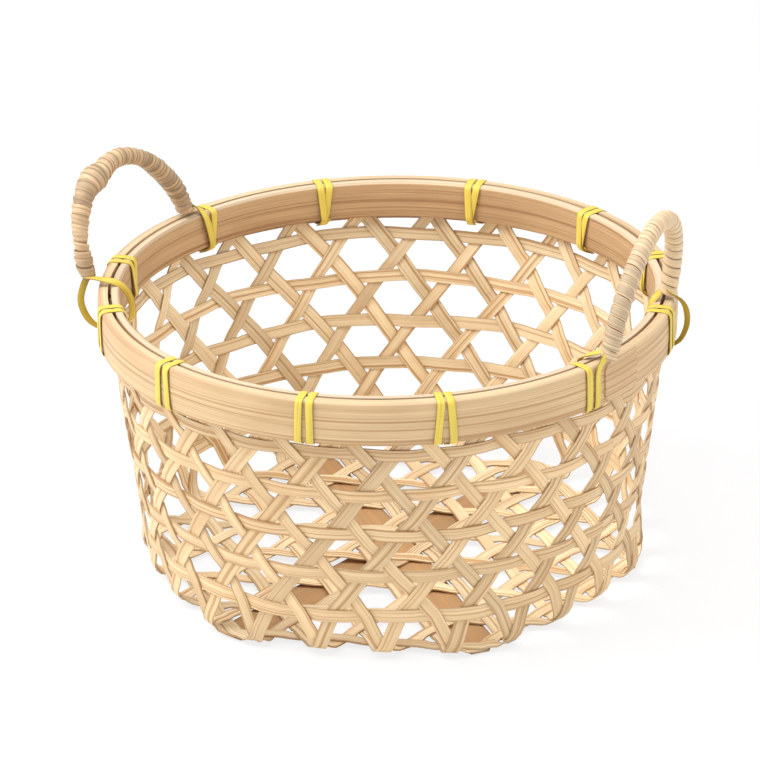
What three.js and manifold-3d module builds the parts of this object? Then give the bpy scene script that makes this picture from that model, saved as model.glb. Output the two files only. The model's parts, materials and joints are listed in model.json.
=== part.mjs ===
// Round bamboo basket in an open hexagonal weave, with a two-hoop rim and two arch handles that swing.
// Millimetres, +Z up. The origin lies on the ground under the middle of the basket, +X runs through a handle.
import * as THREE from 'three';
import { mergeVertices } from 'three/addons/utils/BufferGeometryUtils.js';
import Module from 'manifold-3d';

const wasm = await Module();
wasm.setup();

const radians = THREE.MathUtils.degToRad;
const UP = new THREE.Vector3(0, 0, 1);
const DOWN = new THREE.Vector3(0, 0, -1);

// Weave: flat strips cross a six-sided floor in three directions, turn up at its edge and climb the wall
const STRIPS_PER_DIRECTION = 8;
const WALL_HOOPS = 5;
const STRIP_WIDTH = 4.5;
const STRIP_THICK = 0.6;
const WEAVE_GAP = 0.7;
const FLOOR_APOTHEM = 96;
const FLOOR_TURN = radians(-17.3);
const FOLD_RADIUS = 13.5;
const HOOP_PITCH = 20.2;
const REST_FLAT = 3;
const ROUND_ROWS = 2.2;
const EDGE_EASE = 0.25;

// Base: two wide slats cross under the floor from corner to corner, and the second bows up over the first
const SLAT_WIDTH = 20;
const SLAT_THICK = 1.2;
const SLAT_CLEAR = 0.3;
const SLAT_TIP_WIDTH = 8;
const SLAT_TAPER = 10;
const SLAT_BOW = 75;
const SLAT_TURNS = [90, 150].map(radians);
const BOW_STEPS = 4;

// Rim: the strip ends stand between a tall outer hoop, lapped at one place, and a lower inner hoop
const RIM_RADIUS = 125;
const OUTER_HOOP_HEIGHT = 19.4;
const OUTER_HOOP_THICK = 2.3;
const INNER_HOOP_HEIGHT = 17;
const INNER_HOOP_THICK = 2.2;
const HOOP_ROUND = 1.1;
const HOOP_SEGMENTS = 72;
const RIM_CLEAR = 0.3;
const STRIP_END_DEPTH = 1.5;
const LAP_ANGLE = radians(-21.5);
const LAP_LENGTH = radians(20);
const LAP_STEP = 1;
const LAP_FACE = radians(0.3);

// Ties: a flat band wound twice round the rim through a mesh of the top row
const TIE_WIDTH = 3.4;
const TIE_THICK = 0.8;
const TIE_PITCH = 4.4;
const TIE_CLEAR = 0.3;
const TIE_PASSAGE = 4.35;
const TIE_STRIDE = 2;
const TIE_END = 6;
const TIE_SLIPS = [-2, -2, 1, 2, -2, -2, 1, -2, 2, 0].map(radians);

// Handles: a bent core with a drilled knob at each foot, wrapped in a band of peel. Each swings about the
// line through its feet, which is set in from the rim's face, turned about the basket and shifted aside
const RIGHT_TURN = radians(0);
const RIGHT_INSET = 6.1;
const RIGHT_SHIFT = -8.1;
const RIGHT_HALF_SPAN = 36.5;
const RIGHT_LEAN = radians(7);
const LEFT_TURN = radians(174);
const LEFT_INSET = 7.7;
const LEFT_SHIFT = 14;
const LEFT_HALF_SPAN = 41.8;
const LEFT_LEAN = radians(10.5);
const EYE_RADIUS = 1.9;
const EYE_SIDES = 12;
const FOOT_RADIUS = 4.3;
const FOOT_CLEAR = 0.3;
const KNOB_RINGS = [-0.94, -0.75, -0.4, 0, 0.4];
const ARCH_HEIGHT = 41;
const ARCH_SKEW = 0.22;
const CORE_RADIUS = 2.8;
const CORE_SIDES = 10;
const CORE_STEPS = 20;
const WRAP_TURNS = 24;
const WRAP_STEPS = 12;
const WRAP_THICK = 1;
const WRAP_GAP = 1;
const WRAP_CLEAR = 0.5;
const WRAP_START = 5.6;

// Foot rings: a narrow band from a mesh under the rim through the eye of a foot, slack on the outside
const RIGHT_RING_TURNS = [20, -25].map(radians);
const LEFT_RING_TURNS = [200, 155].map(radians);
const RING_WIDTH = 2.6;
const RING_SLACK = 2.5;
const RING_SPREAD = 3;
const RING_STEP = 4.8;
const RING_CLEAR = 0.6;
const RING_BEND = 2;

// Materials of the pieces
const STRAW = { color: 0xe2bf8b, roughness: 0.55, metalness: 0 };
const PALE_BAMBOO = { color: 0xe6c998, roughness: 0.5, metalness: 0 };
const TAN_BAMBOO = { color: 0xc49a68, roughness: 0.55, metalness: 0 };
const YELLOW_TAPE = { color: 0xe2c85a, roughness: 0.4, metalness: 0 };
const DARK_CANE = { color: 0xa97a4c, roughness: 0.65, metalness: 0 };
const RATTAN_PEEL = { color: 0xd9ae7c, roughness: 0.55, metalness: 0 };

// Lattice: rows count outward from the middle of the floor, meshes count along a side and round the wall
const SIDES = 6;
const SIDE_ANGLE = 2 * Math.PI / SIDES;
const FLOOR_ROWS = STRIPS_PER_DIRECTION / 2;
const HALF_SIDE = FLOOR_ROWS / 2;
const MESHES = SIDES * FLOOR_ROWS;
const MESH_ANGLE = 2 * Math.PI / MESHES;
const FOLD_ARC = FOLD_RADIUS * Math.PI / 2;
const FLOOR_ROW = (FLOOR_APOTHEM + FOLD_ARC / 2) / FLOOR_ROWS;
const FLOOR_MESH = FLOOR_ROW / Math.cos(SIDE_ANGLE / 2);

// Over and under: the lift keeps crossing strips apart out to the corners of the patch that they share
const FOOT_MESH = (FLOOR_APOTHEM + FOLD_RADIUS) * MESH_ANGLE;
const STRIP_LEAN = Math.atan2(HOOP_PITCH, FOOT_MESH / 2);
const CROSS_REACH = STRIP_WIDTH / 2 / Math.tan(STRIP_LEAN / 2);
const CLIMB_STEP = HOOP_PITCH / 2 / Math.sin(STRIP_LEAN);
const LIFT_SHARE = 2 - 2 * CROSS_REACH / CLIMB_STEP - 4 * CROSS_REACH / FOOT_MESH;
const WEAVE_LIFT = (STRIP_THICK + WEAVE_GAP) / LIFT_SHARE;
const WEAVE_HALF = WEAVE_LIFT + STRIP_THICK / 2;

// The floor lies on the slats, and rises by as much again over the patch where the slats cross
const SLAT_FLAT = SLAT_WIDTH / 2 / Math.sin(SIDE_ANGLE / 2);
const FLOOR_LEVEL = SLAT_THICK + SLAT_CLEAR;
const FLOOR_MIDDLE = FLOOR_LEVEL + WEAVE_HALF;

function floorRise(distance) {
  return FLOOR_LEVEL * (1 - THREE.MathUtils.smoothstep(distance, SLAT_FLAT, SLAT_BOW));
}

// Rim levels and radii
const RIM_BOTTOM = FLOOR_LEVEL + WALL_HOOPS * HOOP_PITCH + STRIP_WIDTH / 2 + TIE_PASSAGE;
const RIM_TOP = RIM_BOTTOM + OUTER_HOOP_HEIGHT;
const INNER_BOTTOM = RIM_TOP - INNER_HOOP_HEIGHT;
const OUTER_FACE_IN = RIM_RADIUS - OUTER_HOOP_THICK;
const WALL_TOP_RADIUS = OUTER_FACE_IN - RIM_CLEAR - WEAVE_HALF;
const INNER_FACE_OUT = WALL_TOP_RADIUS - WEAVE_HALF - RIM_CLEAR;
const INNER_FACE = INNER_FACE_OUT - INNER_HOOP_THICK;
const STRIP_TOP = RIM_TOP - STRIP_END_DEPTH;

// Side profile of the weave: flat floor, round fold, wall that flares up to the rim and stands upright in it
const WALL_FOOT = FLOOR_APOTHEM + FOLD_RADIUS;
const FOLD_TOP = FLOOR_MIDDLE + FOLD_RADIUS;
const WALL_FLARE = Math.atan2(WALL_TOP_RADIUS - WALL_FOOT, RIM_BOTTOM - FOLD_TOP);
const FLARE_LENGTH = (RIM_BOTTOM - FOLD_TOP) / Math.cos(WALL_FLARE);

// Height of the lines that the handles swing about
const PIVOT_Z = RIM_TOP + FOOT_RADIUS + FOOT_CLEAR;

// Closed body through rings of points; an open run of rings is capped at both ends
function loft(rings, closed) {
  const sides = rings[0].length;
  const position = rings.flat().flatMap((point) => point.toArray());
  const index = [];
  const spans = closed ? rings.length : rings.length - 1;
  for (let ring = 0; ring < spans; ring += 1) {
    const next = (ring + 1) % rings.length;
    for (let side = 0; side < sides; side += 1) {
      const after = (side + 1) % sides;
      const corners = [ring * sides + side, ring * sides + after, next * sides + after, next * sides + side];
      index.push(corners[0], corners[1], corners[2], corners[0], corners[2], corners[3]);
    }
  }
  if (!closed) {
    const last = (rings.length - 1) * sides;
    for (let side = 1; side < sides - 1; side += 1) {
      index.push(0, side + 1, side, last, last + side, last + side + 1);
    }
  }
  return facingOut(position, index);
}

// Turns every face about when the body is inside out
function facingOut(position, index) {
  const corner = [new THREE.Vector3(), new THREE.Vector3(), new THREE.Vector3()];
  let volume = 0;
  for (let face = 0; face < index.length; face += 3) {
    corner.forEach((point, k) => point.fromArray(position, 3 * index[face + k]));
    volume += corner[0].dot(corner[1].clone().cross(corner[2]));
  }
  const geometry = new THREE.BufferGeometry();
  geometry.setAttribute('position', new THREE.Float32BufferAttribute(position, 3));
  geometry.setIndex(volume < 0 ? index.reverse() : index);
  return geometry;
}

// Rings of a flat band along stations of centre and normal
function bandRings(stations, width, thick) {
  return stations.map((station, k) => {
    const before = stations[Math.max(k - 1, 0)].centre;
    const after = stations[Math.min(k + 1, stations.length - 1)].centre;
    return bandRing(station, before, after, width, thick);
  });
}

function bandRing(station, before, after, width, thick) {
  const along = after.clone().sub(before);
  const across = station.normal.clone().cross(along).setLength(width / 2);
  const through = station.normal.clone().setLength(thick / 2);
  return [[1, 1], [-1, 1], [-1, -1], [1, -1]].map(([side, face]) =>
    station.centre.clone().addScaledVector(across, side).addScaledVector(through, face));
}

// Least gap between parts of a winding that lie further apart along it than the given length
function leastGap(rings, apart) {
  const fine = 4;
  const samples = [];
  let run = 0;
  for (let k = 0; k + 1 < rings.length; k += 1) {
    const step = rings[k][0].distanceTo(rings[k + 1][0]);
    for (let part = 0; part < fine; part += 1) {
      const points = rings[k].map((point, side) => point.clone().lerp(rings[k + 1][side], part / fine));
      samples.push({ points, run: run + step * part / fine });
    }
    run += step;
  }
  let least = Infinity;
  for (const one of samples) {
    for (const other of samples) {
      if (other.run - one.run > apart) {
        one.points.forEach((a) => other.points.forEach((b) => { least = Math.min(least, a.distanceTo(b)); }));
      }
    }
  }
  return least;
}

// Height and reach of the weave's middle surface at a distance from the middle of the floor
function profile(distance) {
  if (distance <= FLOOR_APOTHEM) {
    return { reach: distance, height: FLOOR_MIDDLE };
  }
  const turned = (distance - FLOOR_APOTHEM) / FOLD_RADIUS;
  if (turned <= Math.PI / 2) {
    const reach = FLOOR_APOTHEM + FOLD_RADIUS * Math.sin(turned);
    return { reach, height: FOLD_TOP - FOLD_RADIUS * Math.cos(turned) };
  }
  const climb = distance - FLOOR_APOTHEM - FOLD_ARC;
  const flared = Math.min(climb, FLARE_LENGTH);
  const reach = WALL_FOOT + flared * Math.sin(WALL_FLARE);
  return { reach, height: FOLD_TOP + flared * Math.cos(WALL_FLARE) + climb - flared };
}

function distanceAtHeight(height) {
  if (height < FOLD_TOP) {
    return FLOOR_APOTHEM + FOLD_RADIUS * Math.acos((FOLD_TOP - height) / FOLD_RADIUS);
  }
  const upright = Math.max(height - RIM_BOTTOM, 0);
  return FLOOR_APOTHEM + FOLD_ARC + (height - FOLD_TOP - upright) / Math.cos(WALL_FLARE) + upright;
}

function heightAtRow(row) {
  return FLOOR_LEVEL + HOOP_PITCH * (row - FLOOR_ROWS + 0.5);
}

function rowAtHeight(height) {
  return FLOOR_ROWS - 0.5 + (height - FLOOR_LEVEL) / HOOP_PITCH;
}

function distanceAtRow(row) {
  const edge = FLOOR_ROWS * FLOOR_ROW;
  if (row <= FLOOR_ROWS) {
    return row * FLOOR_ROW;
  }
  const firstHoop = FLOOR_ROWS + 0.5;
  if (row >= firstHoop) {
    return distanceAtHeight(heightAtRow(row));
  }
  const share = (row - FLOOR_ROWS) / (firstHoop - FLOOR_ROWS);
  return THREE.MathUtils.lerp(edge, distanceAtHeight(heightAtRow(firstHoop)), share);
}

// Point of the weave's middle surface: six-sided at the floor, round once it has climbed a few rows
function weavePoint(side, mesh, row) {
  const shift = row > FLOOR_ROWS ? Math.round(mesh / (2 * HALF_SIDE)) : 0;
  const along = mesh - shift * 2 * HALF_SIDE;
  const { reach, height } = profile(distanceAtRow(row));
  const facing = FLOOR_TURN + (side + shift) * SIDE_ANGLE;
  const angle = facing + along * MESH_ANGLE;
  const wide = row < FLOOR_ROWS ? FLOOR_MESH : reach * Math.tan(SIDE_ANGLE / 2) / HALF_SIDE;
  const flat = new THREE.Vector3(reach, along * wide, height).applyAxisAngle(UP, facing);
  const round = new THREE.Vector3(reach, 0, height).applyAxisAngle(UP, angle);
  const climbed = THREE.MathUtils.clamp((row - FLOOR_ROWS + 0.5) / ROUND_ROWS, 0, 1);
  return flat.lerp(round, climbed * (2 - climbed));
}

// Station of a strip on the wall, lifted out or in by its share of the weave's lift
function wallStation(side, mesh, row, share) {
  const nudge = 0.02;
  const across = weavePoint(side, mesh + nudge, row).sub(weavePoint(side, mesh - nudge, row));
  const upward = weavePoint(side, mesh, row + nudge).sub(weavePoint(side, mesh, row - nudge));
  const normal = across.cross(upward).normalize();
  const centre = weavePoint(side, mesh, row).addScaledVector(normal, share * WEAVE_LIFT);
  return { centre, normal };
}

// A strip end that climbs the wall, leaning right (+1) or left (-1) as seen from outside
function climbingStations(side, lean, rowsFromMiddle) {
  const meshAt = (row) => lean * (HALF_SIDE - rowsFromMiddle + (row - FLOOR_ROWS) / 2);
  const stop = rowAtHeight(STRIP_TOP);
  const easeIn = FLOOR_ROWS - EDGE_EASE;
  const easeOut = FLOOR_ROWS + EDGE_EASE;
  const stations = [wallStation(side, meshAt(easeIn), easeIn, 0)];
  for (let half = 0; half <= 2 * WALL_HOOPS; half += 1) {
    const row = FLOOR_ROWS + half / 2;
    stations.push(wallStation(side, meshAt(row), row, half % 2 === 0 ? lean : -lean));
    if (half === 0) {
      stations.push(wallStation(side, meshAt(easeOut), easeOut, 0));
    }
  }
  stations.push(wallStation(side, meshAt(stop), stop, 0));
  return stations;
}

// The straight run of a strip over the floor, with a short flat where it passes below and rests
function floorStations(direction, offset) {
  const facing = FLOOR_TURN + direction * SIDE_ANGLE;
  const edge = (FLOOR_ROWS - Math.abs(offset) / 2) * FLOOR_MESH;
  const crossings = [];
  for (let other = 0.5 - FLOOR_ROWS; other < FLOOR_ROWS; other += 1) {
    crossings.push({ run: (other - offset / 2) * FLOOR_MESH, share: -1 });
    crossings.push({ run: (other + offset / 2) * FLOOR_MESH - REST_FLAT / 2, share: 1 });
    crossings.push({ run: (other + offset / 2) * FLOOR_MESH + REST_FLAT / 2, share: 1 });
  }
  const inside = crossings.filter((crossing) => Math.abs(crossing.run) < edge - REST_FLAT);
  inside.sort((one, two) => one.run - two.run);
  return inside.map(({ run, share }) => {
    const centre = new THREE.Vector3(offset * FLOOR_ROW, run, 0);
    centre.z = FLOOR_MIDDLE + floorRise(centre.length()) - share * WEAVE_LIFT;
    return { centre: centre.applyAxisAngle(UP, facing), normal: DOWN };
  });
}

function weaveStrip(direction, offset) {
  const far = Math.abs(offset);
  const forward = offset > 0
    ? climbingStations(direction + 1, 1, far)
    : climbingStations(direction + 2, -1, far);
  const backward = offset > 0
    ? climbingStations(direction + 5, -1, far)
    : climbingStations(direction + 4, 1, far);
  const stations = [...backward.reverse(), ...floorStations(direction, offset), ...forward];
  return loft(bandRings(stations, STRIP_WIDTH, STRIP_THICK), false);
}

// A wall hoop passes over the strips that lean right and under those that lean left
function wallHoop(level) {
  const row = FLOOR_ROWS + 0.5 + level;
  const stations = [];
  for (let half = 0; half < 2 * MESHES; half += 1) {
    stations.push(wallStation(0, (half + 0.5) / 2, row, (half + level) % 2 === 1 ? 1 : -1));
  }
  const rings = stations.map((station, k) => {
    const before = stations[(k + stations.length - 1) % stations.length].centre;
    const after = stations[(k + 1) % stations.length].centre;
    return bandRing(station, before, after, STRIP_WIDTH, STRIP_THICK);
  });
  return loft(rings, true);
}

// A slat along a diagonal of the floor, with tapered tips; the bowed one follows the rise of the floor
function baseSlat(diagonal, bowed) {
  const tip = FLOOR_APOTHEM / Math.cos(SIDE_ANGLE / 2);
  const arm = [tip, tip - SLAT_TAPER];
  for (let step = 0; step <= BOW_STEPS; step += 1) {
    arm.push(THREE.MathUtils.lerp(SLAT_BOW, SLAT_FLAT, step / BOW_STEPS));
  }
  const runs = [...arm, ...arm.map((run) => -run).reverse()];
  const rings = runs.map((run) => {
    const half = (Math.abs(run) === tip ? SLAT_TIP_WIDTH : SLAT_WIDTH) / 2;
    const low = bowed ? floorRise(Math.abs(run)) : 0;
    const corners = [[half, low], [-half, low], [-half, low + SLAT_THICK], [half, low + SLAT_THICK]];
    return corners.map(([aside, height]) => {
      return new THREE.Vector3(run, aside, height).applyAxisAngle(UP, diagonal);
    });
  });
  return loft(rings, false);
}

// The outer hoop thickens towards its lapped end, which stops in a step
function outerHoop() {
  const rings = [];
  for (let k = 0; k <= HOOP_SEGMENTS; k += 1) {
    const turned = (2 * Math.PI - LAP_FACE) * k / HOOP_SEGMENTS;
    const face = RIM_RADIUS + LAP_STEP * Math.max(0, 1 - turned / LAP_LENGTH);
    const section = [
      [OUTER_FACE_IN, RIM_BOTTOM],
      [face - HOOP_ROUND, RIM_BOTTOM],
      [face, RIM_BOTTOM + HOOP_ROUND],
      [face, RIM_TOP - HOOP_ROUND],
      [face - HOOP_ROUND, RIM_TOP],
      [OUTER_FACE_IN, RIM_TOP],
    ];
    const angle = LAP_ANGLE + turned;
    const corners = section.map(([reach, height]) => new THREE.Vector3(reach, 0, height));
    rings.push(corners.map((corner) => corner.applyAxisAngle(UP, angle)));
  }
  return loft(rings, true);
}

function innerHoop() {
  const section = [
    new THREE.Vector2(INNER_FACE, INNER_BOTTOM + HOOP_ROUND),
    new THREE.Vector2(INNER_FACE + HOOP_ROUND, INNER_BOTTOM),
    new THREE.Vector2(INNER_FACE_OUT, INNER_BOTTOM),
    new THREE.Vector2(INNER_FACE_OUT, RIM_TOP),
    new THREE.Vector2(INNER_FACE + HOOP_ROUND, RIM_TOP),
    new THREE.Vector2(INNER_FACE, RIM_TOP - HOOP_ROUND),
  ];
  const geometry = new THREE.LatheGeometry([...section, section[0]], HOOP_SEGMENTS);
  return geometry.rotateX(Math.PI / 2);
}

// Middle of a mesh in the top row, where bands pass under the rim
function meshAngle(count) {
  return FLOOR_TURN + (count + (FLOOR_ROWS + WALL_HOOPS) / 2) * MESH_ANGLE;
}

function nearestMesh(angle) {
  return Math.round((angle - meshAngle(0)) / MESH_ANGLE);
}

// Stations of a band that lies on the rim, named by where they are on its section
const BAND_OFFSET = TIE_CLEAR + TIE_THICK / 2;
const BAND_OUT = RIM_RADIUS + BAND_OFFSET;
const BAND_IN = INNER_FACE - BAND_OFFSET;
const BAND_TOP = RIM_TOP + BAND_OFFSET;
const BAND_UNDER = RIM_BOTTOM - BAND_OFFSET;
const BAND_UNDER_IN = INNER_BOTTOM - BAND_OFFSET;
const BAND_PAST_HOOP = OUTER_FACE_IN - BAND_OFFSET;
const RIM_PLACES = {
  innerEnd: [BAND_IN, BAND_UNDER_IN + HOOP_ROUND + TIE_END, -1, 0],
  innerLow: [BAND_IN, BAND_UNDER_IN + HOOP_ROUND, -1, 0],
  underIn: [BAND_IN + HOOP_ROUND, BAND_UNDER_IN, 0, -1],
  underMiddle: [BAND_PAST_HOOP, BAND_UNDER, 0, -1],
  underOut: [BAND_OUT - HOOP_ROUND, BAND_UNDER, 0, -1],
  outerLow: [BAND_OUT, BAND_UNDER + HOOP_ROUND, 1, 0],
  outerTop: [BAND_OUT, BAND_TOP - HOOP_ROUND, 1, 0],
  topOut: [BAND_OUT - HOOP_ROUND, BAND_TOP, 0, 1],
  topIn: [BAND_IN + HOOP_ROUND, BAND_TOP, 0, 1],
  innerTop: [BAND_IN, BAND_TOP - HOOP_ROUND, -1, 0],
  innerStop: [BAND_IN, BAND_TOP - HOOP_ROUND - TIE_END, -1, 0],
};
const UNDER_THE_RIM = ['innerLow', 'underIn', 'underMiddle', 'underOut', 'outerLow'];
const ROUND_THE_RIM = [...UNDER_THE_RIM, 'outerTop', 'topOut', 'topIn', 'innerTop'];

function rimStation(place, angle, aside) {
  const [reach, height, out, up] = RIM_PLACES[place];
  const turned = angle + aside / RIM_RADIUS;
  const centre = new THREE.Vector3(reach, 0, height).applyAxisAngle(UP, turned);
  return { centre, normal: new THREE.Vector3(out, 0, up).applyAxisAngle(UP, turned) };
}

// Two turns, side by side on the outside, that step over to each other down the inside
function tieRings(angle) {
  const endShare = TIE_END / (RIM_TOP - INNER_BOTTOM);
  const first = -TIE_PITCH / 2;
  const second = TIE_PITCH / 2;
  const stations = [
    rimStation('innerEnd', angle, first - endShare * TIE_PITCH),
    ...ROUND_THE_RIM.map((place) => rimStation(place, angle, first)),
    ...ROUND_THE_RIM.map((place) => rimStation(place, angle, second)),
    rimStation('innerStop', angle, second + endShare * TIE_PITCH),
  ];
  return bandRings(stations, TIE_WIDTH, TIE_THICK);
}

// Middle line of a handle over its two eyes, in a frame whose +X faces out: half an ellipse, drawn a little
// to one side and leaning out
class HandleArch extends THREE.Curve {
  constructor(turn, inset, shift, halfSpan, lean) {
    super();
    this.turn = turn;
    this.middle = new THREE.Vector3(RIM_RADIUS - inset, shift, PIVOT_Z);
    this.halfSpan = halfSpan;
    this.upward = new THREE.Vector3(Math.sin(lean), ARCH_SKEW, Math.cos(lean));
    this.normal = new THREE.Vector3(Math.cos(lean), 0, -Math.sin(lean));
    this.run = this.getLength();
  }

  getPoint(t, target = new THREE.Vector3()) {
    target.copy(this.middle).addScaledVector(this.upward, ARCH_HEIGHT * Math.sin(Math.PI * t));
    target.y += this.halfSpan * Math.cos(Math.PI * t);
    return target;
  }

  eye(end) {
    return this.middle.clone().setY(this.middle.y + end * this.halfSpan);
  }

  // Place along the handle, measured from the first eye and running straight on past both ends
  place(run) {
    const share = THREE.MathUtils.clamp(run / this.run, 0, 1);
    const along = this.getTangentAt(share);
    const centre = this.getPointAt(share).addScaledVector(along, run - share * this.run);
    return { centre, along, side: this.normal.clone().cross(along) };
  }

  around(place, turned, radius) {
    return place.centre.clone()
      .addScaledVector(this.normal, radius * Math.cos(turned))
      .addScaledVector(place.side, radius * Math.sin(turned));
  }
}

// Ring of the foot at the +Y or -Y end of a handle, through the given mesh. Its slack strand leaves the eye
// on the given side and goes over the rim and down outside it; the other strand goes down the rim's inside
function footRingRings(arch, end, mesh, slackSide, turnsFirst) {
  const slot = meshAngle(mesh) - arch.turn;
  const eye = arch.eye(end);
  const loose = turnsFirst ? RING_SPREAD : -RING_SPREAD / 2;
  const straight = FOOT_RADIUS + RING_CLEAR;
  const bend = straight + RING_BEND;
  const besideOut = eye.clone().add(new THREE.Vector3(0, slackSide * bend, -RING_BEND / 2));
  const besideIn = eye.clone().add(new THREE.Vector3(-RING_BEND, -slackSide * bend, 0));
  const outAngle = Math.atan2(besideOut.y, besideOut.x);
  const inAngle = Math.atan2(besideIn.y, besideIn.x);
  const outward = new THREE.Vector3(1, 0, 0).applyAxisAngle(UP, outAngle);
  const overReach = Math.max(Math.hypot(besideOut.x, besideOut.y), BAND_OUT) + RING_BEND / 2;
  const overEdge = new THREE.Vector3(overReach, 0, BAND_TOP);
  const slackAngle = (slot + loose / RIM_RADIUS + outAngle) / 2;
  const slack = new THREE.Vector3(BAND_OUT + RING_SLACK, 0, (BAND_UNDER + PIVOT_Z) / 2);
  const tilted = new THREE.Vector3(1, 0, 1).normalize();
  const stations = [];
  if (turnsFirst) {
    stations.push(rimStation('innerEnd', slot, -RING_SPREAD - RING_STEP / 2));
    stations.push(...ROUND_THE_RIM.map((place) => rimStation(place, slot, -RING_SPREAD)));
  } else {
    stations.push(rimStation('innerEnd', slot, loose));
  }
  stations.push(
    ...UNDER_THE_RIM.map((place) => rimStation(place, slot, loose)),
    { centre: slack.applyAxisAngle(UP, slackAngle), normal: outward },
    { centre: overEdge.applyAxisAngle(UP, outAngle), normal: outward },
    { centre: besideOut, normal: tilted },
    { centre: eye.clone().setY(eye.y + slackSide * straight), normal: tilted },
    { centre: eye.clone().setY(eye.y - slackSide * straight), normal: tilted },
    { centre: besideIn, normal: UP },
    rimStation('topIn', inAngle, 0),
    rimStation('innerTop', inAngle, 0),
    rimStation('innerEnd', slot, loose + RING_STEP),
  );
  return bandRings(stations, RING_WIDTH, TIE_THICK);
}

function handleCore(arch) {
  const knobReach = Math.sqrt(FOOT_RADIUS ** 2 - CORE_RADIUS ** 2);
  const knob = KNOB_RINGS.map((share) => share * FOOT_RADIUS);
  const runs = [...knob];
  for (let k = 0; k <= CORE_STEPS; k += 1) {
    runs.push(knobReach + (arch.run - 2 * knobReach) * k / CORE_STEPS);
  }
  runs.push(...knob.map((run) => arch.run - run).reverse());
  const rings = runs.map((run) => {
    const fromEye = Math.min(run, arch.run - run);
    const radius = fromEye < knobReach ? Math.sqrt(FOOT_RADIUS ** 2 - fromEye ** 2) : CORE_RADIUS;
    const place = arch.place(run);
    const turns = Array.from({ length: CORE_SIDES }, (_, k) => 2 * Math.PI * k / CORE_SIDES);
    return turns.map((turned) => arch.around(place, turned, radius));
  });
  let core = asSolid(loft(rings, false));
  for (const end of [1, -1]) {
    const drill = new THREE.CylinderGeometry(EYE_RADIUS, EYE_RADIUS, 3 * FOOT_RADIUS, EYE_SIDES);
    core = core.subtract(asSolid(drill.translate(...arch.eye(end).toArray())));
  }
  return asGeometry(core);
}

// Peel wound along the core, flat against it and ridged outside
function wrapRings(arch) {
  const steps = WRAP_TURNS * WRAP_STEPS;
  const wound = arch.run - 2 * WRAP_START;
  const halfWidth = (wound / WRAP_TURNS - WRAP_GAP) / 2;
  const inside = CORE_RADIUS + WRAP_CLEAR;
  return Array.from({ length: steps + 1 }, (_, k) => {
    const place = arch.place(WRAP_START + wound * k / steps);
    const turned = 2 * Math.PI * k / WRAP_STEPS;
    const bed = arch.around(place, turned, inside);
    return [
      bed.clone().addScaledVector(place.along, -halfWidth),
      bed.clone().addScaledVector(place.along, halfWidth),
      arch.around(place, turned, inside + WRAP_THICK),
    ];
  });
}

// Conversions for the cuts
function asSolid(geometry) {
  const bare = geometry.clone();
  bare.deleteAttribute('normal');
  bare.deleteAttribute('uv');
  const merged = mergeVertices(bare, 1e-4);
  const vertProperties = new Float32Array(merged.attributes.position.array);
  const triVerts = new Uint32Array(merged.index.array);
  return new wasm.Manifold(new wasm.Mesh({ numProp: 3, vertProperties, triVerts }));
}

function asGeometry(solid) {
  const mesh = solid.getMesh();
  const geometry = new THREE.BufferGeometry();
  geometry.setAttribute('position', new THREE.Float32BufferAttribute(mesh.vertProperties, 3));
  geometry.setIndex(Array.from(mesh.triVerts));
  return geometry;
}

const basket = new THREE.Group();

function addPiece(group, name, geometry, finish) {
  const mesh = new THREE.Mesh(geometry, new THREE.MeshStandardMaterial(finish));
  mesh.name = name;
  group.add(mesh);
}

function addWinding(group, name, rings, turnLength, finish) {
  console.log(`${name}: least gap to itself ${leastGap(rings, turnLength / 2).toFixed(2)} mm`);
  addPiece(group, name, loft(rings, false), finish);
}

['a', 'b', 'c'].forEach((letter, direction) => {
  for (let count = 0; count < STRIPS_PER_DIRECTION; count += 1) {
    const offset = count + 0.5 - FLOOR_ROWS;
    addPiece(basket, `weave_strip_${letter}${count + 1}`, weaveStrip(direction, offset), STRAW);
  }
});

addPiece(basket, 'base_slat_1', baseSlat(FLOOR_TURN + SLAT_TURNS[0], false), STRAW);
addPiece(basket, 'base_slat_2', baseSlat(FLOOR_TURN + SLAT_TURNS[1], true), STRAW);

for (let level = 0; level < WALL_HOOPS; level += 1) {
  addPiece(basket, `wall_hoop_${level + 1}`, wallHoop(level), STRAW);
}

addPiece(basket, 'rim_outer_hoop', outerHoop(), PALE_BAMBOO);
addPiece(basket, 'rim_inner_hoop', innerHoop(), TAN_BAMBOO);

// Each handle in its own turned frame
const RIM_TURN_LENGTH = 2 * (OUTER_HOOP_HEIGHT + RIM_RADIUS - INNER_FACE);
const WRAP_TURN_LENGTH = 2 * Math.PI * CORE_RADIUS;
const rightArch = new HandleArch(RIGHT_TURN, RIGHT_INSET, RIGHT_SHIFT, RIGHT_HALF_SPAN, RIGHT_LEAN);
const leftArch = new HandleArch(LEFT_TURN, LEFT_INSET, LEFT_SHIFT, LEFT_HALF_SPAN, LEFT_LEAN);
const taken = [];
for (const { side, arch, ringTurns, secondSlack } of [
  { side: 'right', arch: rightArch, ringTurns: RIGHT_RING_TURNS, secondSlack: -1 },
  { side: 'left', arch: leftArch, ringTurns: LEFT_RING_TURNS, secondSlack: 1 },
]) {
  const meshes = ringTurns.map(nearestMesh);
  const group = new THREE.Group();
  group.rotation.z = arch.turn;
  basket.add(group);
  addPiece(group, `handle_${side}_core`, handleCore(arch), DARK_CANE);
  addWinding(group, `handle_${side}_wrap`, wrapRings(arch), WRAP_TURN_LENGTH, RATTAN_PEEL);
  const firstRing = footRingRings(arch, 1, meshes[0], -1, false);
  const secondRing = footRingRings(arch, -1, meshes[1], secondSlack, true);
  addWinding(group, `foot_ring_${side}_1`, firstRing, RIM_TURN_LENGTH, YELLOW_TAPE);
  addWinding(group, `foot_ring_${side}_2`, secondRing, RIM_TURN_LENGTH, YELLOW_TAPE);
  taken.push(...meshes);
}

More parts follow.
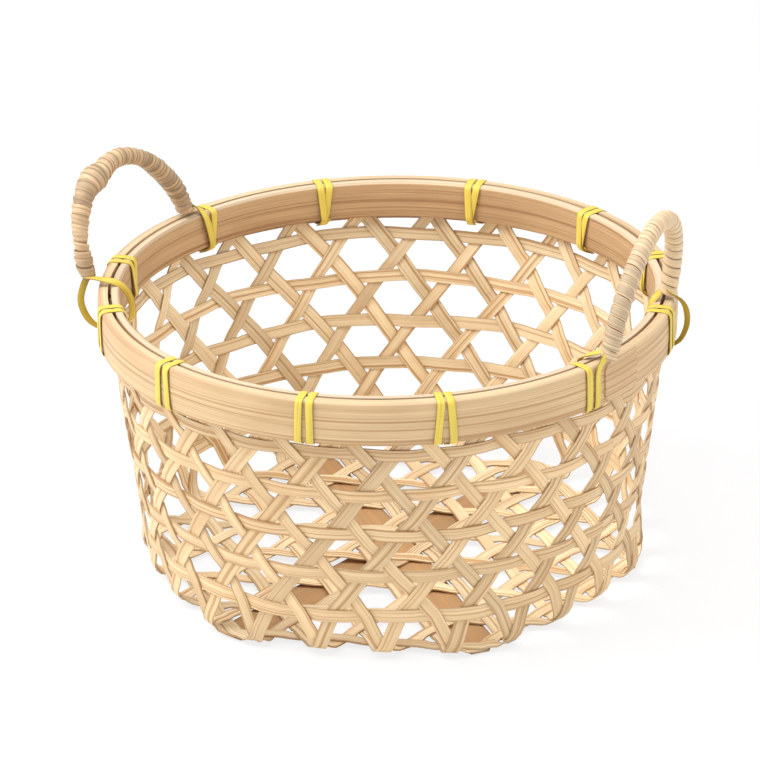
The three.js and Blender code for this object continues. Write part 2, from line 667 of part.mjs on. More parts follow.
// Ties in every second mesh that no foot ring uses, each a little off the middle of its mesh
const busy = taken.map((count) => THREE.MathUtils.euclideanModulo(count, MESHES));
const everySecond = Array.from({ length: MESHES / TIE_STRIDE }, (_, k) => 1 + k * TIE_STRIDE);
everySecond.filter((count) => !busy.includes(count)).forEach((count, k) => {
  const name = `rim_tie_${String(k + 1).padStart(2, '0')}`;
  const angle = meshAngle(count) + TIE_SLIPS[k % TIE_SLIPS.length];
  addWinding(basket, name, tieRings(angle), RIM_TURN_LENGTH, YELLOW_TAPE);
});

export default basket;
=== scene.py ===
import json
import math
import random
from dataclasses import dataclass

import bpy
from bpy.props import FloatProperty, FloatVectorProperty, IntProperty, PointerProperty
from mathutils import Matrix, Quaternion, Vector, noise


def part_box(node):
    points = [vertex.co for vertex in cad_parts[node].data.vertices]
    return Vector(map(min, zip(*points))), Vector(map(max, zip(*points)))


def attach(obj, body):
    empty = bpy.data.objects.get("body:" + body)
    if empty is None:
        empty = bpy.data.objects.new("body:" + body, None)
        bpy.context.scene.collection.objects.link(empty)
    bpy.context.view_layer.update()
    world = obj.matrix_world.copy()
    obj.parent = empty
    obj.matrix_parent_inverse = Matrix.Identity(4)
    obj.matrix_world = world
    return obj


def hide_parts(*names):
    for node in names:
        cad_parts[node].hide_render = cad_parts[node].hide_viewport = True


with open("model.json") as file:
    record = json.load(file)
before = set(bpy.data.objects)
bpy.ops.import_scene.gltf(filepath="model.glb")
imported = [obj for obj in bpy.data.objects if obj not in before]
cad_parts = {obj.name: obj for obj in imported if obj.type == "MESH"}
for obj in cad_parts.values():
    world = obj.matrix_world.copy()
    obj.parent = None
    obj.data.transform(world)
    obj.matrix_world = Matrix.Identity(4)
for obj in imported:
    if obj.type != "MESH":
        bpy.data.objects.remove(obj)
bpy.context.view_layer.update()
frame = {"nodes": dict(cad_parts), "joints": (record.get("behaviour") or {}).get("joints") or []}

bl_info = {
    "name": "Bamboo basket",
    "version": (1, 0, 0),
    "blender": (4, 5, 0),
    "location": "3D View > Sidebar > Basket",
    "description": "Dresses the frame of an open-weave bamboo basket with bamboo, tape and rattan peel",
    "category": "Object",
}

# Places taken from the frame, in metres
RIM_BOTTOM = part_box("rim_outer_hoop")[0].z
RIM_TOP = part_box("rim_outer_hoop")[1].z
INNER_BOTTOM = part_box("rim_inner_hoop")[0].z
HINGES = {joint["child"]: joint for joint in frame["joints"]}
HOOP_NODES = sorted(name for name in frame["nodes"] if name.startswith("wall_hoop_"))
TIE_NODES = sorted(name for name in frame["nodes"] if name.startswith("rim_tie_"))
STRIPS_PER_DIRECTION = sum(name.startswith("weave_strip_a") for name in frame["nodes"])
FIRST_HOOP = sum(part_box(HOOP_NODES[0]), Vector()).z / 2
HOOP_PITCH = (sum(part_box(HOOP_NODES[-1]), Vector()).z / 2 - FIRST_HOOP) / (len(HOOP_NODES) - 1)
FLOOR_LEVEL = min(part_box(name)[0].z for name in frame["nodes"] if name.startswith("weave_strip_"))
SLAT_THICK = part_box("base_slat_1")[1].z

UP = Vector((0, 0, 1))
DOWN = Vector((0, 0, -1))
SIDES = 6
SIDE_ANGLE = math.tau / SIDES
FLOOR_ROWS = STRIPS_PER_DIRECTION / 2
HALF_SIDE = FLOOR_ROWS / 2
MESHES = int(SIDES * FLOOR_ROWS)
MESH_ANGLE = math.tau / MESHES
HALF_ROW = 0.5


def tint(red, green, blue):
    """Linear colour of a screen colour given in steps of 255."""
    return tuple((value / 255) ** 2.2 for value in (red, green, blue))


def length(name, description, default):
    return FloatProperty(name=name, description=description, default=default, unit="LENGTH", precision=5)


def angle(name, description, degrees):
    return FloatProperty(name=name, description=description, default=math.radians(degrees), subtype="ANGLE")


def ratio(name, description, default):
    return FloatProperty(name=name, description=description, default=default)


def whole_number(name, description, default):
    return IntProperty(name=name, description=description, default=default)


def colour(name, description, red, green, blue):
    return FloatVectorProperty(name=name, description=description, default=tint(red, green, blue),
                               subtype="COLOR", min=0, max=1)


class BasketSizes(bpy.types.PropertyGroup):
    """Sizes of the basket that the pieces are worked out from"""

    floor_apothem: length("Floor", "Middle of the floor to the middle of one of its six sides", 0.0985)
    floor_turn: angle("Floor turn", "Turn of the six-sided floor about the upright axis", -17.3)
    fold_radius: length("Fold", "Radius of the bend from the floor to the wall", 0.0085)
    round_rows: ratio("Rounding", "Rows in which the wall turns from six-sided to round", 1.4)
    strip_thick: length("Strip thickness", "Thickness of a weaving strip", 0.0007)
    strip_gap: length("Strip gap", "Gap between strips that cross", 0.00012)
    tip_width: length("Tip width", "Width of a weaving strip at its tip", 0.0052)
    butt_width: length("Butt width", "Width of a weaving strip at its butt", 0.0068)
    low_hoop_width: length("Lowest hoop", "Width of the lowest wall hoop", 0.006)
    high_hoop_width: length("Highest hoop", "Width of the highest wall hoop", 0.0054)
    sway: length("Sway", "How far a hand-laid strip strays from its line", 0.0008)
    slat_width: length("Slat width", "Width of the slats under the floor", 0.02)
    slat_reach: length("Slat reach", "Half of the length of the slats under the floor", 0.107)
    slat_tip: length("Slat tip", "Width of a slat at its tips", 0.008)
    slat_bow: length("Slat bow", "Half of the stretch in which the floor rises over the slats", 0.075)
    wall_top: length("Wall top", "Radius of the weave between the rim hoops", 0.1202)
    rim_radius: length("Rim radius", "Radius of the outer face of the rim", 0.1257)
    inner_face: length("Rim inside", "Radius of the inner face of the rim", 0.1155)
    rim_slit: length("Rim slit", "Half of the slit between the rim hoops", 0.0008)
    lap_angle: angle("Lap angle", "Place of the lapped end of the outer hoop", -21.5)
    lap_length: angle("Lap length", "Length of the lapped end", 10.5)
    lap_step: length("Lap step", "Thickness of the lapped end", 0.001)
    tape_width: length("Tape width", "Width of the tape of the ties", 0.0034)
    tape_thick: length("Tape thickness", "Thickness of the tape", 0.0006)
    ring_width: length("Ring width", "Width of the tape of the loose foot rings", 0.003)
    arch_height: length("Arch height", "Rise of a handle over its feet", 0.041)
    arch_skew: ratio("Arch draw", "Sideways draw of a handle over its rise", 0.22)
    right_span: length("Right span", "Half of the span between the eyes of the right handle", 0.0365)
    left_span: length("Left span", "Half of the span between the eyes of the left handle", 0.0418)
    right_lean: angle("Right lean", "Lean of the right handle out from the upright", 7)
    left_lean: angle("Left lean", "Lean of the left handle out from the upright", 10.5)
    core_radius: length("Core radius", "Radius of the cane in a handle", 0.0028)
    foot_radius: length("Foot radius", "Radius of the foot of a handle", 0.0027)
    eye_radius: length("Eye radius", "Radius of the eye in a foot", 0.0016)
    peel_thick: length("Peel thickness", "Thickness of the rattan peel", 0.0011)
    right_turns: whole_number("Right turns", "Turns of peel on the right handle", 28)
    left_turns: whole_number("Left turns", "Turns of peel on the left handle", 42)


class BasketColours(bpy.types.PropertyGroup):
    """Colours of the basket's materials"""

    straw: colour("Straw", "Pale side of the weaving strips", 240, 209, 162)
    straw_line: colour("Straw line", "Grain lines of the weaving strips", 196, 150, 100)
    pith: colour("Pith", "Inner side of the weaving strips", 248, 225, 184)
    slat: colour("Slat", "Slats under the floor", 182, 142, 100)
    hoop_pale: colour("Hoop pale", "Pale fibres of the outer hoop", 238, 204, 155)
    hoop_tan: colour("Hoop tan", "Dark fibres of the outer hoop", 198, 152, 105)
    inner_pale: colour("Inner pale", "Pale fibres of the inner hoop", 200, 164, 121)
    inner_tan: colour("Inner tan", "Dark fibres of the inner hoop", 160, 118, 80)
    tape: colour("Tape", "Yellow tape", 240, 212, 92)
    # Painted shade: the tape's inner side is given a darker olive colour for the shade it lies in
    tape_back: colour("Tape back", "Inner side of the tape", 178, 152, 52)
    # Colour of the tape's streaks, and painted shade along the tape's edges
    tape_edge: colour("Tape edge", "Folds and edges of the tape", 158, 128, 42)
    # The worn edge colour is a painted highlight on the top edges of the rim hoops
    top_edge_highlight: colour("Worn edge", "Bare top edges of the rim hoops", 255, 243, 216)
    peel: colour("Peel", "Rattan peel of the right handle", 236, 206, 166)
    peel_brown: colour("Brown peel", "Rattan peel of the left handle", 236, 199, 154)
    cane: colour("Cane", "Bare cane of the handles", 150, 104, 62)


# The woven surface and what lies on it


class Weave:
    """Middle surface of the weave: a six-sided floor that folds up into a round wall."""

    def __init__(self, sizes):
        self.sizes = sizes
        self.lift = (sizes.strip_thick + sizes.strip_gap) / 2
        self.half = self.lift + sizes.strip_thick / 2
        self.fold_arc = sizes.fold_radius * math.pi / 2
        self.row = (sizes.floor_apothem + self.fold_arc / 2) / FLOOR_ROWS
        self.mesh = self.row / math.cos(SIDE_ANGLE / 2)
        self.foot = sizes.floor_apothem + sizes.fold_radius
        self.floor = FLOOR_LEVEL + self.half
        self.fold_top = self.floor + sizes.fold_radius
        self.flare = math.atan2(sizes.wall_top - self.foot, RIM_BOTTOM - self.fold_top)
        self.flare_length = (RIM_BOTTOM - self.fold_top) / math.cos(self.flare)

    def profile(self, distance):
        """Reach and height at a distance from the middle of the floor."""
        past = distance - self.sizes.floor_apothem
        if past <= 0:
            return distance, self.floor
        turned = past / self.sizes.fold_radius
        if turned <= math.pi / 2:
            reach = self.sizes.floor_apothem + self.sizes.fold_radius * math.sin(turned)
            return reach, self.fold_top - self.sizes.fold_radius * math.cos(turned)
        climb = past - self.fold_arc
        flared = min(climb, self.flare_length)
        height = self.fold_top + flared * math.cos(self.flare) + climb - flared
        return self.foot + flared * math.sin(self.flare), height

    def distance_at_height(self, height):
        upright = max(height - RIM_BOTTOM, 0)
        sloped = (height - self.fold_top - upright) / math.cos(self.flare)
        return self.sizes.floor_apothem + self.fold_arc + sloped + upright

    def distance_at_row(self, row):
        if row <= FLOOR_ROWS:
            return row * self.row
        share = min((row - FLOOR_ROWS) / HALF_ROW, 1)
        wall = self.distance_at_height(FIRST_HOOP + HOOP_PITCH * max(row - FLOOR_ROWS - HALF_ROW, 0))
        return FLOOR_ROWS * self.row * (1 - share) + wall * share

    def row_at_height(self, height):
        return FLOOR_ROWS + HALF_ROW + (height - FIRST_HOOP) / HOOP_PITCH

    def floor_rise(self, distance):
        """Rise of the floor over the place where the slats cross under it."""
        flat = self.sizes.slat_width / 2 / math.sin(SIDE_ANGLE / 2)
        share = min(max((distance - flat) / (self.sizes.slat_bow - flat), 0), 1)
        return FLOOR_LEVEL * (1 - share * share * (3 - 2 * share))

    def point(self, side, mesh, row):
        """Point at a mesh along a side and a row out from the middle of the floor."""
        shift = round(mesh / (2 * HALF_SIDE)) if row > FLOOR_ROWS else 0
        along = mesh - shift * 2 * HALF_SIDE
        reach, height = self.profile(self.distance_at_row(row))
        facing = self.sizes.floor_turn + (side + shift) * SIDE_ANGLE
        wide = self.mesh if row < FLOOR_ROWS else reach * math.tan(SIDE_ANGLE / 2) / HALF_SIDE
        flat = Matrix.Rotation(facing, 3, "Z") @ Vector((reach, along * wide, height))
        curved = Matrix.Rotation(facing + along * MESH_ANGLE, 3, "Z") @ Vector((reach, 0, height))
        climbed = min(max((row - FLOOR_ROWS + HALF_ROW) / self.sizes.round_rows, 0), 1)
        return flat.lerp(curved, climbed * (2 - climbed))

    def slope(self, side, mesh, row, mesh_step, row_step):
        """Direction in which the surface runs for a step in mesh and row."""
        nudge = 0.02
        ahead = self.point(side, mesh + nudge * mesh_step, row + nudge * row_step)
        behind = self.point(side, mesh - nudge * mesh_step, row - nudge * row_step)
        return (ahead - behind).normalized()

    def normal(self, side, mesh, row):
        return self.slope(side, mesh, row, 1, 0).cross(self.slope(side, mesh, row, 0, 1)).normalized()


@dataclass
class Station:
    """Place on a strip; at a crossing also its side, and the line and width of the other strip."""

    centre: Vector
    normal: Vector
    over: float = 0
    other: Vector = None
    other_width: float = 0


def drift(name, wave, size):
    """Slow sideways drift of a hand-laid strip along its run."""
    dice = random.Random(name)
    first = dice.uniform(0, math.tau)
    second = dice.uniform(0, math.tau)

    def aside(run):
        slow = math.sin(math.tau * run / wave + first)
        uneven = math.sin(5 * run / wave + second)
        return size * (0.6 * slow + 0.4 * uneven)

    return aside


def strip_width(sizes, share):
    """Width of a strip: it tapers from its butt, which leans right on the wall, to its tip."""
    return sizes.tip_width + (sizes.butt_width - sizes.tip_width) * share


def hoop_width(sizes, level):
    share = level / (len(HOOP_NODES) - 1)
    return sizes.low_hoop_width + (sizes.high_hoop_width - sizes.low_hoop_width) * share


ROW_STEPS = 12
# Shares of a strip's length at which its two ends climb the wall
TIP_SHARE = 0.1
BUTT_SHARE = 0.9
# Depth of the strips' ends below the top of the rim
END_DEPTH = 0.0038


def climbing_stations(weave, side, lean, rows_out):
    """A strip end on the wall, leaning right (+1) or left (-1) as seen from outside."""
    sizes = weave.sizes
    stop = weave.row_at_height(RIM_TOP - END_DEPTH)
    stations = []
    first = round((FLOOR_ROWS - HALF_ROW) * ROW_STEPS) + 1
    for step in range(first, math.floor(stop * ROW_STEPS) + 1):
        row = step / ROW_STEPS
        mesh = lean * (HALF_SIDE - rows_out + (row - FLOOR_ROWS) / 2)
        station = Station(weave.point(side, mesh, row), weave.normal(side, mesh, row))
        halves = round(2 * (row - FLOOR_ROWS))
        if step % (ROW_STEPS / 2) == 0 and 0 <= halves <= 2 * len(HOOP_NODES):
            if halves % 2 == 0:
                station.over = lean
                station.other = weave.slope(side, mesh, row, -lean / 2, 1)
                station.other_width = strip_width(sizes, TIP_SHARE if lean > 0 else BUTT_SHARE)
            else:
                station.over = -lean
                station.other = weave.slope(side, mesh, row, 1, 0)
                station.other_width = hoop_width(sizes, halves // 2)
        stations.append(station)
    return stations


def floor_stations(weave, direction, offset, start, stop):
    """The straight run of a strip over the floor between two points at its edge."""
    turn = Matrix.Rotation(weave.sizes.floor_turn + direction * SIDE_ANGLE, 3, "Z")
    line = turn @ Vector((0, 1, 0))
    width = strip_width(weave.sizes, 0.5)
    crossings = []
    for count in range(STRIPS_PER_DIRECTION):
        other = count + HALF_ROW - FLOOR_ROWS
        crossings.append(((other - offset / 2) * weave.mesh, -1, SIDE_ANGLE))
        crossings.append(((other + offset / 2) * weave.mesh, 1, -SIDE_ANGLE))
    nudge = weave.mesh / 8
    low = start.dot(line) - nudge
    high = stop.dot(line) + nudge
    crossings = sorted(crossing for crossing in crossings if low < crossing[0] < high)
    stations = []
    steps = 7

    def centre(run):
        height = weave.floor + weave.floor_rise(math.hypot(offset * weave.row, run))
        return turn @ Vector((offset * weave.row, run, height))

    for k, (run, over, turned) in enumerate(crossings):
        other = Matrix.Rotation(turned, 3, "Z") @ line
        stations.append(Station(centre(run), DOWN, over, other, width))
        if k + 1 < len(crossings):
            for step in range(1, steps):
                stations.append(Station(centre(run + (crossings[k + 1][0] - run) * step / steps), DOWN))
    return stations


def strip_stations(weave, direction, offset):
    """A whole strip, from its tip on the wall over the floor to its butt on the wall."""
    far = abs(offset)
    butt_side, tip_side = (1, 5) if offset > 0 else (4, 2)
    butt = climbing_stations(weave, direction + butt_side, 1, far)
    tip = climbing_stations(weave, direction + tip_side, -1, far)
    if offset > 0:
        return tip[::-1] + floor_stations(weave, direction, offset, tip[0].centre, butt[0].centre) + butt
    floor = floor_stations(weave, direction, offset, butt[0].centre, tip[0].centre)
    return tip[::-1] + floor[::-1] + butt


def hoop_stations(weave, level):
    """A wall hoop passes over the strips that lean right and under those that lean left."""
    row = FLOOR_ROWS + HALF_ROW + level
    steps = 6
    stations = []
    for step in range(2 * MESHES * steps):
        mesh = (step / steps + 0.5) / 2
        station = Station(weave.point(0, mesh, row), weave.normal(0, mesh, row))
        if step % steps == 0:
            right = (step // steps + level) % 2 == 1
            station.over = 1 if right else -1
            station.other = weave.slope(0, mesh, row, 0.5 if right else -0.5, 1)
            station.other_width = strip_width(weave.sizes, BUTT_SHARE if right else TIP_SHARE)
        stations.append(station)
    return stations


# Meshes


SHARP_EDGE = math.radians(40)


def loft(name, rings, grain, faces, closed):
    """Mesh through rings of points; grain holds run and width in metres, faces the share across and side."""
    sides = len(rings[0])
    count = len(rings)
    points = [point for ring in rings for point in ring]
    polygons = []
    grain_corners = []
    face_corners = []
    turn = grain[-1][0][0] - grain[0][0][0] + (rings[-1][0] - rings[0][0]).length
    for k in range(count if closed else count - 1):
        after = (k + 1) % count
        lap = turn if after == 0 else 0
        for side in range(sides):
            beside = (side + 1) % sides
            corners = ((k, side, 0), (k, beside, 0), (after, beside, lap), (after, side, lap))
            for ring, place, added in corners:
                run, wide = grain[ring][place]
                grain_corners.extend((run + added, wide))
                face_corners.extend(faces[place])
            start = k * sides
            stop = after * sides
            polygons.append((start + side, start + beside, stop + beside, stop + side))
    if not closed:
        for ring, order in ((0, range(sides - 1, -1, -1)), (count - 1, range(sides))):
            polygons.append([ring * sides + place for place in order])
            for place in order:
                grain_corners.extend(grain[ring][place])
                face_corners.extend((faces[place][0], 0.5))
    mesh = bpy.data.meshes.new(name)
    mesh.from_pydata(points, [], polygons)
    for layer, corners in (("grain", grain_corners), ("face", face_corners)):
        mesh.uv_layers.new(name=layer).data.foreach_set("uv", corners)
    mesh.validate()
    face_out(mesh)
    mesh.shade_smooth()
    mesh.set_sharp_from_angle(angle=SHARP_EDGE)
    return mesh


def face_out(mesh):
    """Turns every face about when the mesh is inside out."""
    volume = 0
    for polygon in mesh.polygons:
        corners = [mesh.vertices[index].co for index in polygon.vertices]
        for second, third in zip(corners[1:], corners[2:]):
            volume += corners[0].dot(second.cross(third))
    if volume < 0:
        mesh.flip_normals()


def add_piece(name, mesh, material, body, nodes):
    """Puts a finished mesh in the scene, on its body and in place of its nodes."""
    piece = bpy.data.objects.new(name, mesh)
    bpy.context.scene.collection.objects.link(piece)
    mesh.materials.append(material)
    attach(piece, body)
    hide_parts(*nodes)
    return piece


def lifted(crossings, run, aside):
    """Which side of the weave a strip lies on, from -1 inside to 1 outside, with smooth changes between."""
    before = None
    for place, over, slant, reach in crossings:
        middle = place + slant * aside
        if run < middle:
            if before is None:
                return over
            start = before[0] + before[2]
            stop = middle - reach
            if stop <= start:
                start = stop = (start + stop) / 2
            if run <= start:
                return before[1]
            if run >= stop:
                return over
            share = (run - start) / (stop - start)
            return before[1] + (over - before[1]) * share * share * (3 - 2 * share)
        before = (middle, over, reach)
    return before[1]


ACROSS = (-1, -0.5, 0, 0.5, 1)
STRIP_WAVES = 5
HOOP_WAVES = 9
# Stretch at the ends of a strip in which it comes back to its line
END_STRETCH = 0.03
# Share of a strip's thickness that is worn off its edges
EDGE_LOSS = 0.08


def woven_strip(name, weave, stations, width_at, closed):
    """Flat strip along stations, raised and lowered at its crossings."""
    sizes = weave.sizes
    count = len(stations)
    runs = [0.0]
    for one, two in zip(stations, stations[1:]):
        runs.append(runs[-1] + (two.centre - one.centre).length)
    total = runs[-1]
    if closed:
        total += (stations[0].centre - stations[-1].centre).length
    alongs = []
    for k in range(count):
        before = stations[k - 1] if closed or k > 0 else stations[k]
        after = stations[(k + 1) % count] if closed or k + 1 < count else stations[k]
        alongs.append((after.centre - before.centre).normalized())
    crossings = []
    for station, run, along in zip(stations, runs, alongs):
        if station.over:
            sine = station.normal.dot(along.cross(station.other))
            reach = station.other_width / 2 / abs(sine) + sizes.sway
            crossings.append((run, station.over, along.dot(station.other) / sine, reach))
    if closed:
        crossings = [(run + lap, over, slant, reach) for lap in (-total, 0, total)
                     for run, over, slant, reach in crossings]
    aside_at = drift(name, total / (HOOP_WAVES if closed else STRIP_WAVES), sizes.sway)
    rings = []
    grain = []
    for station, run, along in zip(stations, runs, alongs):
        across = station.normal.cross(along).normalized()
        width = width_at(run / total)
        fade = 1 if closed else min(1, run / END_STRETCH, (total - run) / END_STRETCH)
        outside = []
        inside = []
        for share in ACROSS:
            aside = share * width / 2
            height = weave.lift * lifted(crossings, run, aside)
            middle = station.centre + across * (aside + fade * aside_at(run)) + station.normal * height
            raised = 0.5 - EDGE_LOSS * share * share
            outside.append(middle + station.normal * sizes.strip_thick * raised)
            inside.append(middle - station.normal * sizes.strip_thick / 2)
        rings.append(outside + inside[::-1])
        wide = [share * width / 2 for share in ACROSS]
        grain.append([(run, place) for place in wide + wide[::-1]])
    shares = [(share + 1) / 2 for share in ACROSS]
    faces = [(share, 1) for share in shares] + [(share, 0) for share in shares[::-1]]
    return loft(name, rings, grain, faces, closed)


# Places across a slat and up its thickness
SLAT_SECTION = ((-1, 0), (-1, 0.7), (-0.9, 0.95), (-0.45, 1), (0, 1),
                (0.45, 1), (0.9, 0.95), (1, 0.7), (1, 0))


def base_slat(name, weave, direction, bowed):
    """Wide slat along a diagonal of the floor, with cut-down tips; a bowed one follows the floor's rise."""
    sizes = weave.sizes
    tip = sizes.slat_reach
    taper = 0.01
    steps = 80
    turn = Matrix.Rotation(direction, 3, "Z")
    rings = []
    grain = []
    for step in range(steps + 1):
        run = tip * (2 * step / steps - 1)
        full = min(1, (tip - abs(run)) / taper)
        half = (sizes.slat_tip + (sizes.slat_width - sizes.slat_tip) * full) / 2
        low = weave.floor_rise(abs(run)) if bowed else 0
        rings.append([turn @ Vector((run, wide * half, low + deep * SLAT_THICK))
                      for wide, deep in SLAT_SECTION])
        grain.append([(run, wide * half) for wide, deep in SLAT_SECTION])
    faces = [((wide + 1) / 2, 1 if deep > 0 else 0) for wide, deep in SLAT_SECTION]
    return loft(name, rings, grain, faces, False)


def smooth_route(stations, corner):
    """Stations of centre and normal with each corner cut into a short curve."""
    most = 0.45
    route = [stations[0]]
    for before, here, after in zip(stations, stations[1:], stations[2:]):
        into = here[0] - before[0]
        out = after[0] - here[0]
        cut_in = min(corner, into.length * most) / into.length
        cut_out = min(corner, out.length * most) / out.length
        start = here[0] - into * cut_in
        stop = here[0] + out * cut_out
        normal_in = here[1].lerp(before[1], cut_in)
        normal_out = here[1].lerp(after[1], cut_out)
        for share in (0, 0.25, 0.5, 0.75, 1):
            one = start.lerp(here[0], share)
            two = here[0].lerp(stop, share)
            route.append((one.lerp(two, share), normal_in.lerp(normal_out, share)))
    route.append(stations[-1])
    return route


# Places across the tape and through it
TAPE_SECTION = ((0.5, -0.2), (0.5, 0.2), (0.42, 0.5), (-0.42, 0.5),
                (-0.5, 0.2), (-0.5, -0.2), (-0.42, -0.5), (0.42, -0.5))
TIE_CORNER = 0.0026
RING_CORNER = 0.005


def tape_band(name, stations, width, thick, corner):
    """Flat tape with soft edges along stations of centre and normal."""
    route = smooth_route(stations, corner)
    rings = []
    grain = []
    run = 0
    for k, (centre, facing) in enumerate(route):
        before = route[max(k - 1, 0)][0]
        after = route[min(k + 1, len(route) - 1)][0]
        along = (after - before).normalized()
        across = facing.cross(along).normalized()
        through = along.cross(across)
        run += (centre - before).length
        rings.append([centre + across * wide * width + through * deep * thick
                      for wide, deep in TAPE_SECTION])
        grain.append([(run, wide * width) for wide, deep in TAPE_SECTION])
    faces = [(wide + 0.5, 1 if deep > 0 else 0) for wide, deep in TAPE_SECTION]
    return loft(name, rings, grain, faces, False)


# Materials


class Finish:
    """A node material with a surface shader, and short calls to add and link nodes."""

    def __init__(self, name):
        self.material = bpy.data.materials.new(name)
        self.material.use_nodes = True
        self.nodes = self.material.node_tree.nodes
        self.links = self.material.node_tree.links
        self.surface = self.nodes["Principled BSDF"]

    def add(self, kind, inputs=(), **settings):
        node = self.nodes.new(kind)
        for setting, value in settings.items():
            setattr(node, setting, value)
        for socket, value in dict(inputs).items():
            self.feed(node.inputs[socket], value)
        return node

    def feed(self, socket, value):
        if isinstance(value, bpy.types.NodeSocket):
            self.links.new(value, socket)
        else:
            socket.default_value = value

    def stretched_noise(self, where, along, across, detail, shift):
        """Noise drawn out along the grain: its scales are in waves per metre."""
        stretch = {"Vector": where, "Scale": (along, across, 1), "Location": (shift, shift, 0)}
        moved = self.add("ShaderNodeMapping", stretch)
        noise_inputs = {"Vector": moved.outputs[0], "Scale": 1, "Detail": detail}
        return self.add("ShaderNodeTexNoise", noise_inputs).outputs[0]

    def ramp(self, value, low, high, most=1):
        """Share from 0 to the most as a value goes from low to high."""
        node = self.add("ShaderNodeMapRange", {0: value, 1: low, 2: high, 3: 0, 4: most})
        return node.outputs[0]

    def off(self, value, place):
        """How far a value lies from a place."""
        return self.math("ABSOLUTE", self.math("SUBTRACT", value, place), 0)

    def mix(self, share, one, two, blend="MIX"):
        node = self.add("ShaderNodeMix", data_type="RGBA", blend_type=blend)
        self.feed(node.inputs[0], share)
        self.feed(node.inputs[6], one)
        self.feed(node.inputs[7], two)
        return node.outputs[2]

    def math(self, operation, one, two):
        return self.add("ShaderNodeMath", {0: one, 1: two}, operation=operation).outputs[0]

    def roughen(self, streaks, spread, least):
        """Roughness that grows from its least value with the streaks."""
        rough = self.math("ADD", self.math("MULTIPLY", streaks, spread), least)
        self.feed(self.surface.inputs["Roughness"], rough)

    def bump(self, height, strength, distance):
        node = self.add("ShaderNodeBump", {"Height": height, "Strength": strength, "Distance": distance})
        self.feed(self.surface.inputs["Normal"], node.outputs[0])


def rgba(value):
    return (*value, 1)


# Place of the top edge across a rim hoop, where a pale highlight is painted, and how far from it the painted
# highlight starts and is full
HIGHLIGHT_PLACE = 0.692
HIGHLIGHT_START = 0.011
HIGHLIGHT_FULL = 0.005


def bamboo(name, pale, line, back, line_waves, gloss, bump,
           patch_waves=16, patch_depth=0.4, top_highlight=0, edge=None):
    """Split bamboo: long fibres, dark grain lines, pale lines that are partly painted highlight, painted
    shade along the edges, a tone for each piece, and an optional painted highlight on a top edge.
    """
    finish = Finish(name)
    place = finish.add("ShaderNodeUVMap", uv_map="grain").outputs[0]
    chance = finish.add("ShaderNodeObjectInfo").outputs["Random"]
    apart = {0: finish.math("MULTIPLY", chance, 3.7), 1: finish.math("MULTIPLY", chance, 0.9)}
    spread = finish.add("ShaderNodeCombineXYZ", apart)
    where = finish.add("ShaderNodeVectorMath", {0: place, 1: spread.outputs[0]}, operation="ADD").outputs[0]
    fibre = finish.stretched_noise(where, along=14, across=2600, detail=2, shift=0.3)
    lines = finish.stretched_noise(where, along=3, across=line_waves, detail=1, shift=5.1)
    patches = finish.stretched_noise(where, along=patch_waves, across=60, detail=2, shift=9.7)
    side = finish.add("ShaderNodeSeparateXYZ", {0: finish.add("ShaderNodeUVMap", uv_map="face").outputs[0]})
    body = finish.mix(side.outputs[1], rgba(back), rgba(pale))
    # Pale grain lines, partly painted highlight: the lines are lightened and whitened as if catching light
    ridge_sheen = finish.mix(1, body, (1.12, 1.13, 1.16, 1), "MULTIPLY")
    ridged = finish.mix(finish.ramp(lines, 0.46, 0.36, most=0.8), body, ridge_sheen)
    lined = finish.mix(finish.ramp(lines, 0.54, 0.63, most=0.85), ridged, rgba(line))
    grained = finish.mix(finish.ramp(fibre, 0.5, 0.7, most=0.4), lined, rgba(line))
    patched = finish.mix(finish.ramp(patches, 0.45, 0.7, most=patch_depth), grained, rgba(line))
    tone = finish.math("ADD", finish.math("MULTIPLY", chance, 0.24), 0.84)
    level = finish.add("ShaderNodeCombineColor", {0: tone, 1: tone, 2: tone}).outputs[0]
    varied = finish.mix(1, patched, level, "MULTIPLY")
    # Painted shade: the colour darkens along the long edges of each strip, slat and peel turn, standing in
    # for the shade beside them
    dark = tuple(value * 0.4 for value in line)
    off_middle = finish.off(side.outputs[0], 0.5)
    coloured = finish.mix(finish.ramp(off_middle, 0.45, 0.5, most=0.4), varied, rgba(dark))
    # Painted highlight: a near-white band along the top edge of a rim hoop
    if top_highlight:
        off_edge = finish.off(side.outputs[0], HIGHLIGHT_PLACE)
        coloured = finish.mix(finish.ramp(off_edge, HIGHLIGHT_START, HIGHLIGHT_FULL, most=top_highlight), coloured, rgba(edge))
    finish.feed(finish.surface.inputs["Base Color"], coloured)
    finish.roughen(fibre, spread=0.25, least=gloss)
    finish.bump(finish.math("ADD", fibre, lines), bump, 0.0002)
    return finish.material


def yellow_tape(colours):
    """Smooth tape with faint lengthwise streaks, painted shade along its edges and on its inner side."""
    finish = Finish("yellow_tape")
    place = finish.add("ShaderNodeUVMap", uv_map="grain").outputs[0]
    streaks = finish.stretched_noise(place, along=30, across=1500, detail=2, shift=1.3)
    side = finish.add("ShaderNodeSeparateXYZ", {0: finish.add("ShaderNodeUVMap", uv_map="face").outputs[0]})
    # Painted shade: the inner side of the tape is darker than its outer side
    body = finish.mix(side.outputs[1], rgba(colours.tape_back), rgba(colours.tape))
    streaked = finish.mix(finish.ramp(streaks, 0.45, 0.75, most=0.5), body, rgba(colours.tape_edge))
    off_middle = finish.off(side.outputs[0], 0.5)
    # Painted shade: the tape darkens towards its edges
    edge_shaded = finish.mix(finish.ramp(off_middle, 0.42, 0.5), streaked, rgba(colours.tape_edge))
    finish.feed(finish.surface.inputs["Base Color"], edge_shaded)
    finish.roughen(streaks, spread=0.2, least=0.35)
    finish.bump(streaks, 0.25, 0.0001)
    return finish.material


# The rim


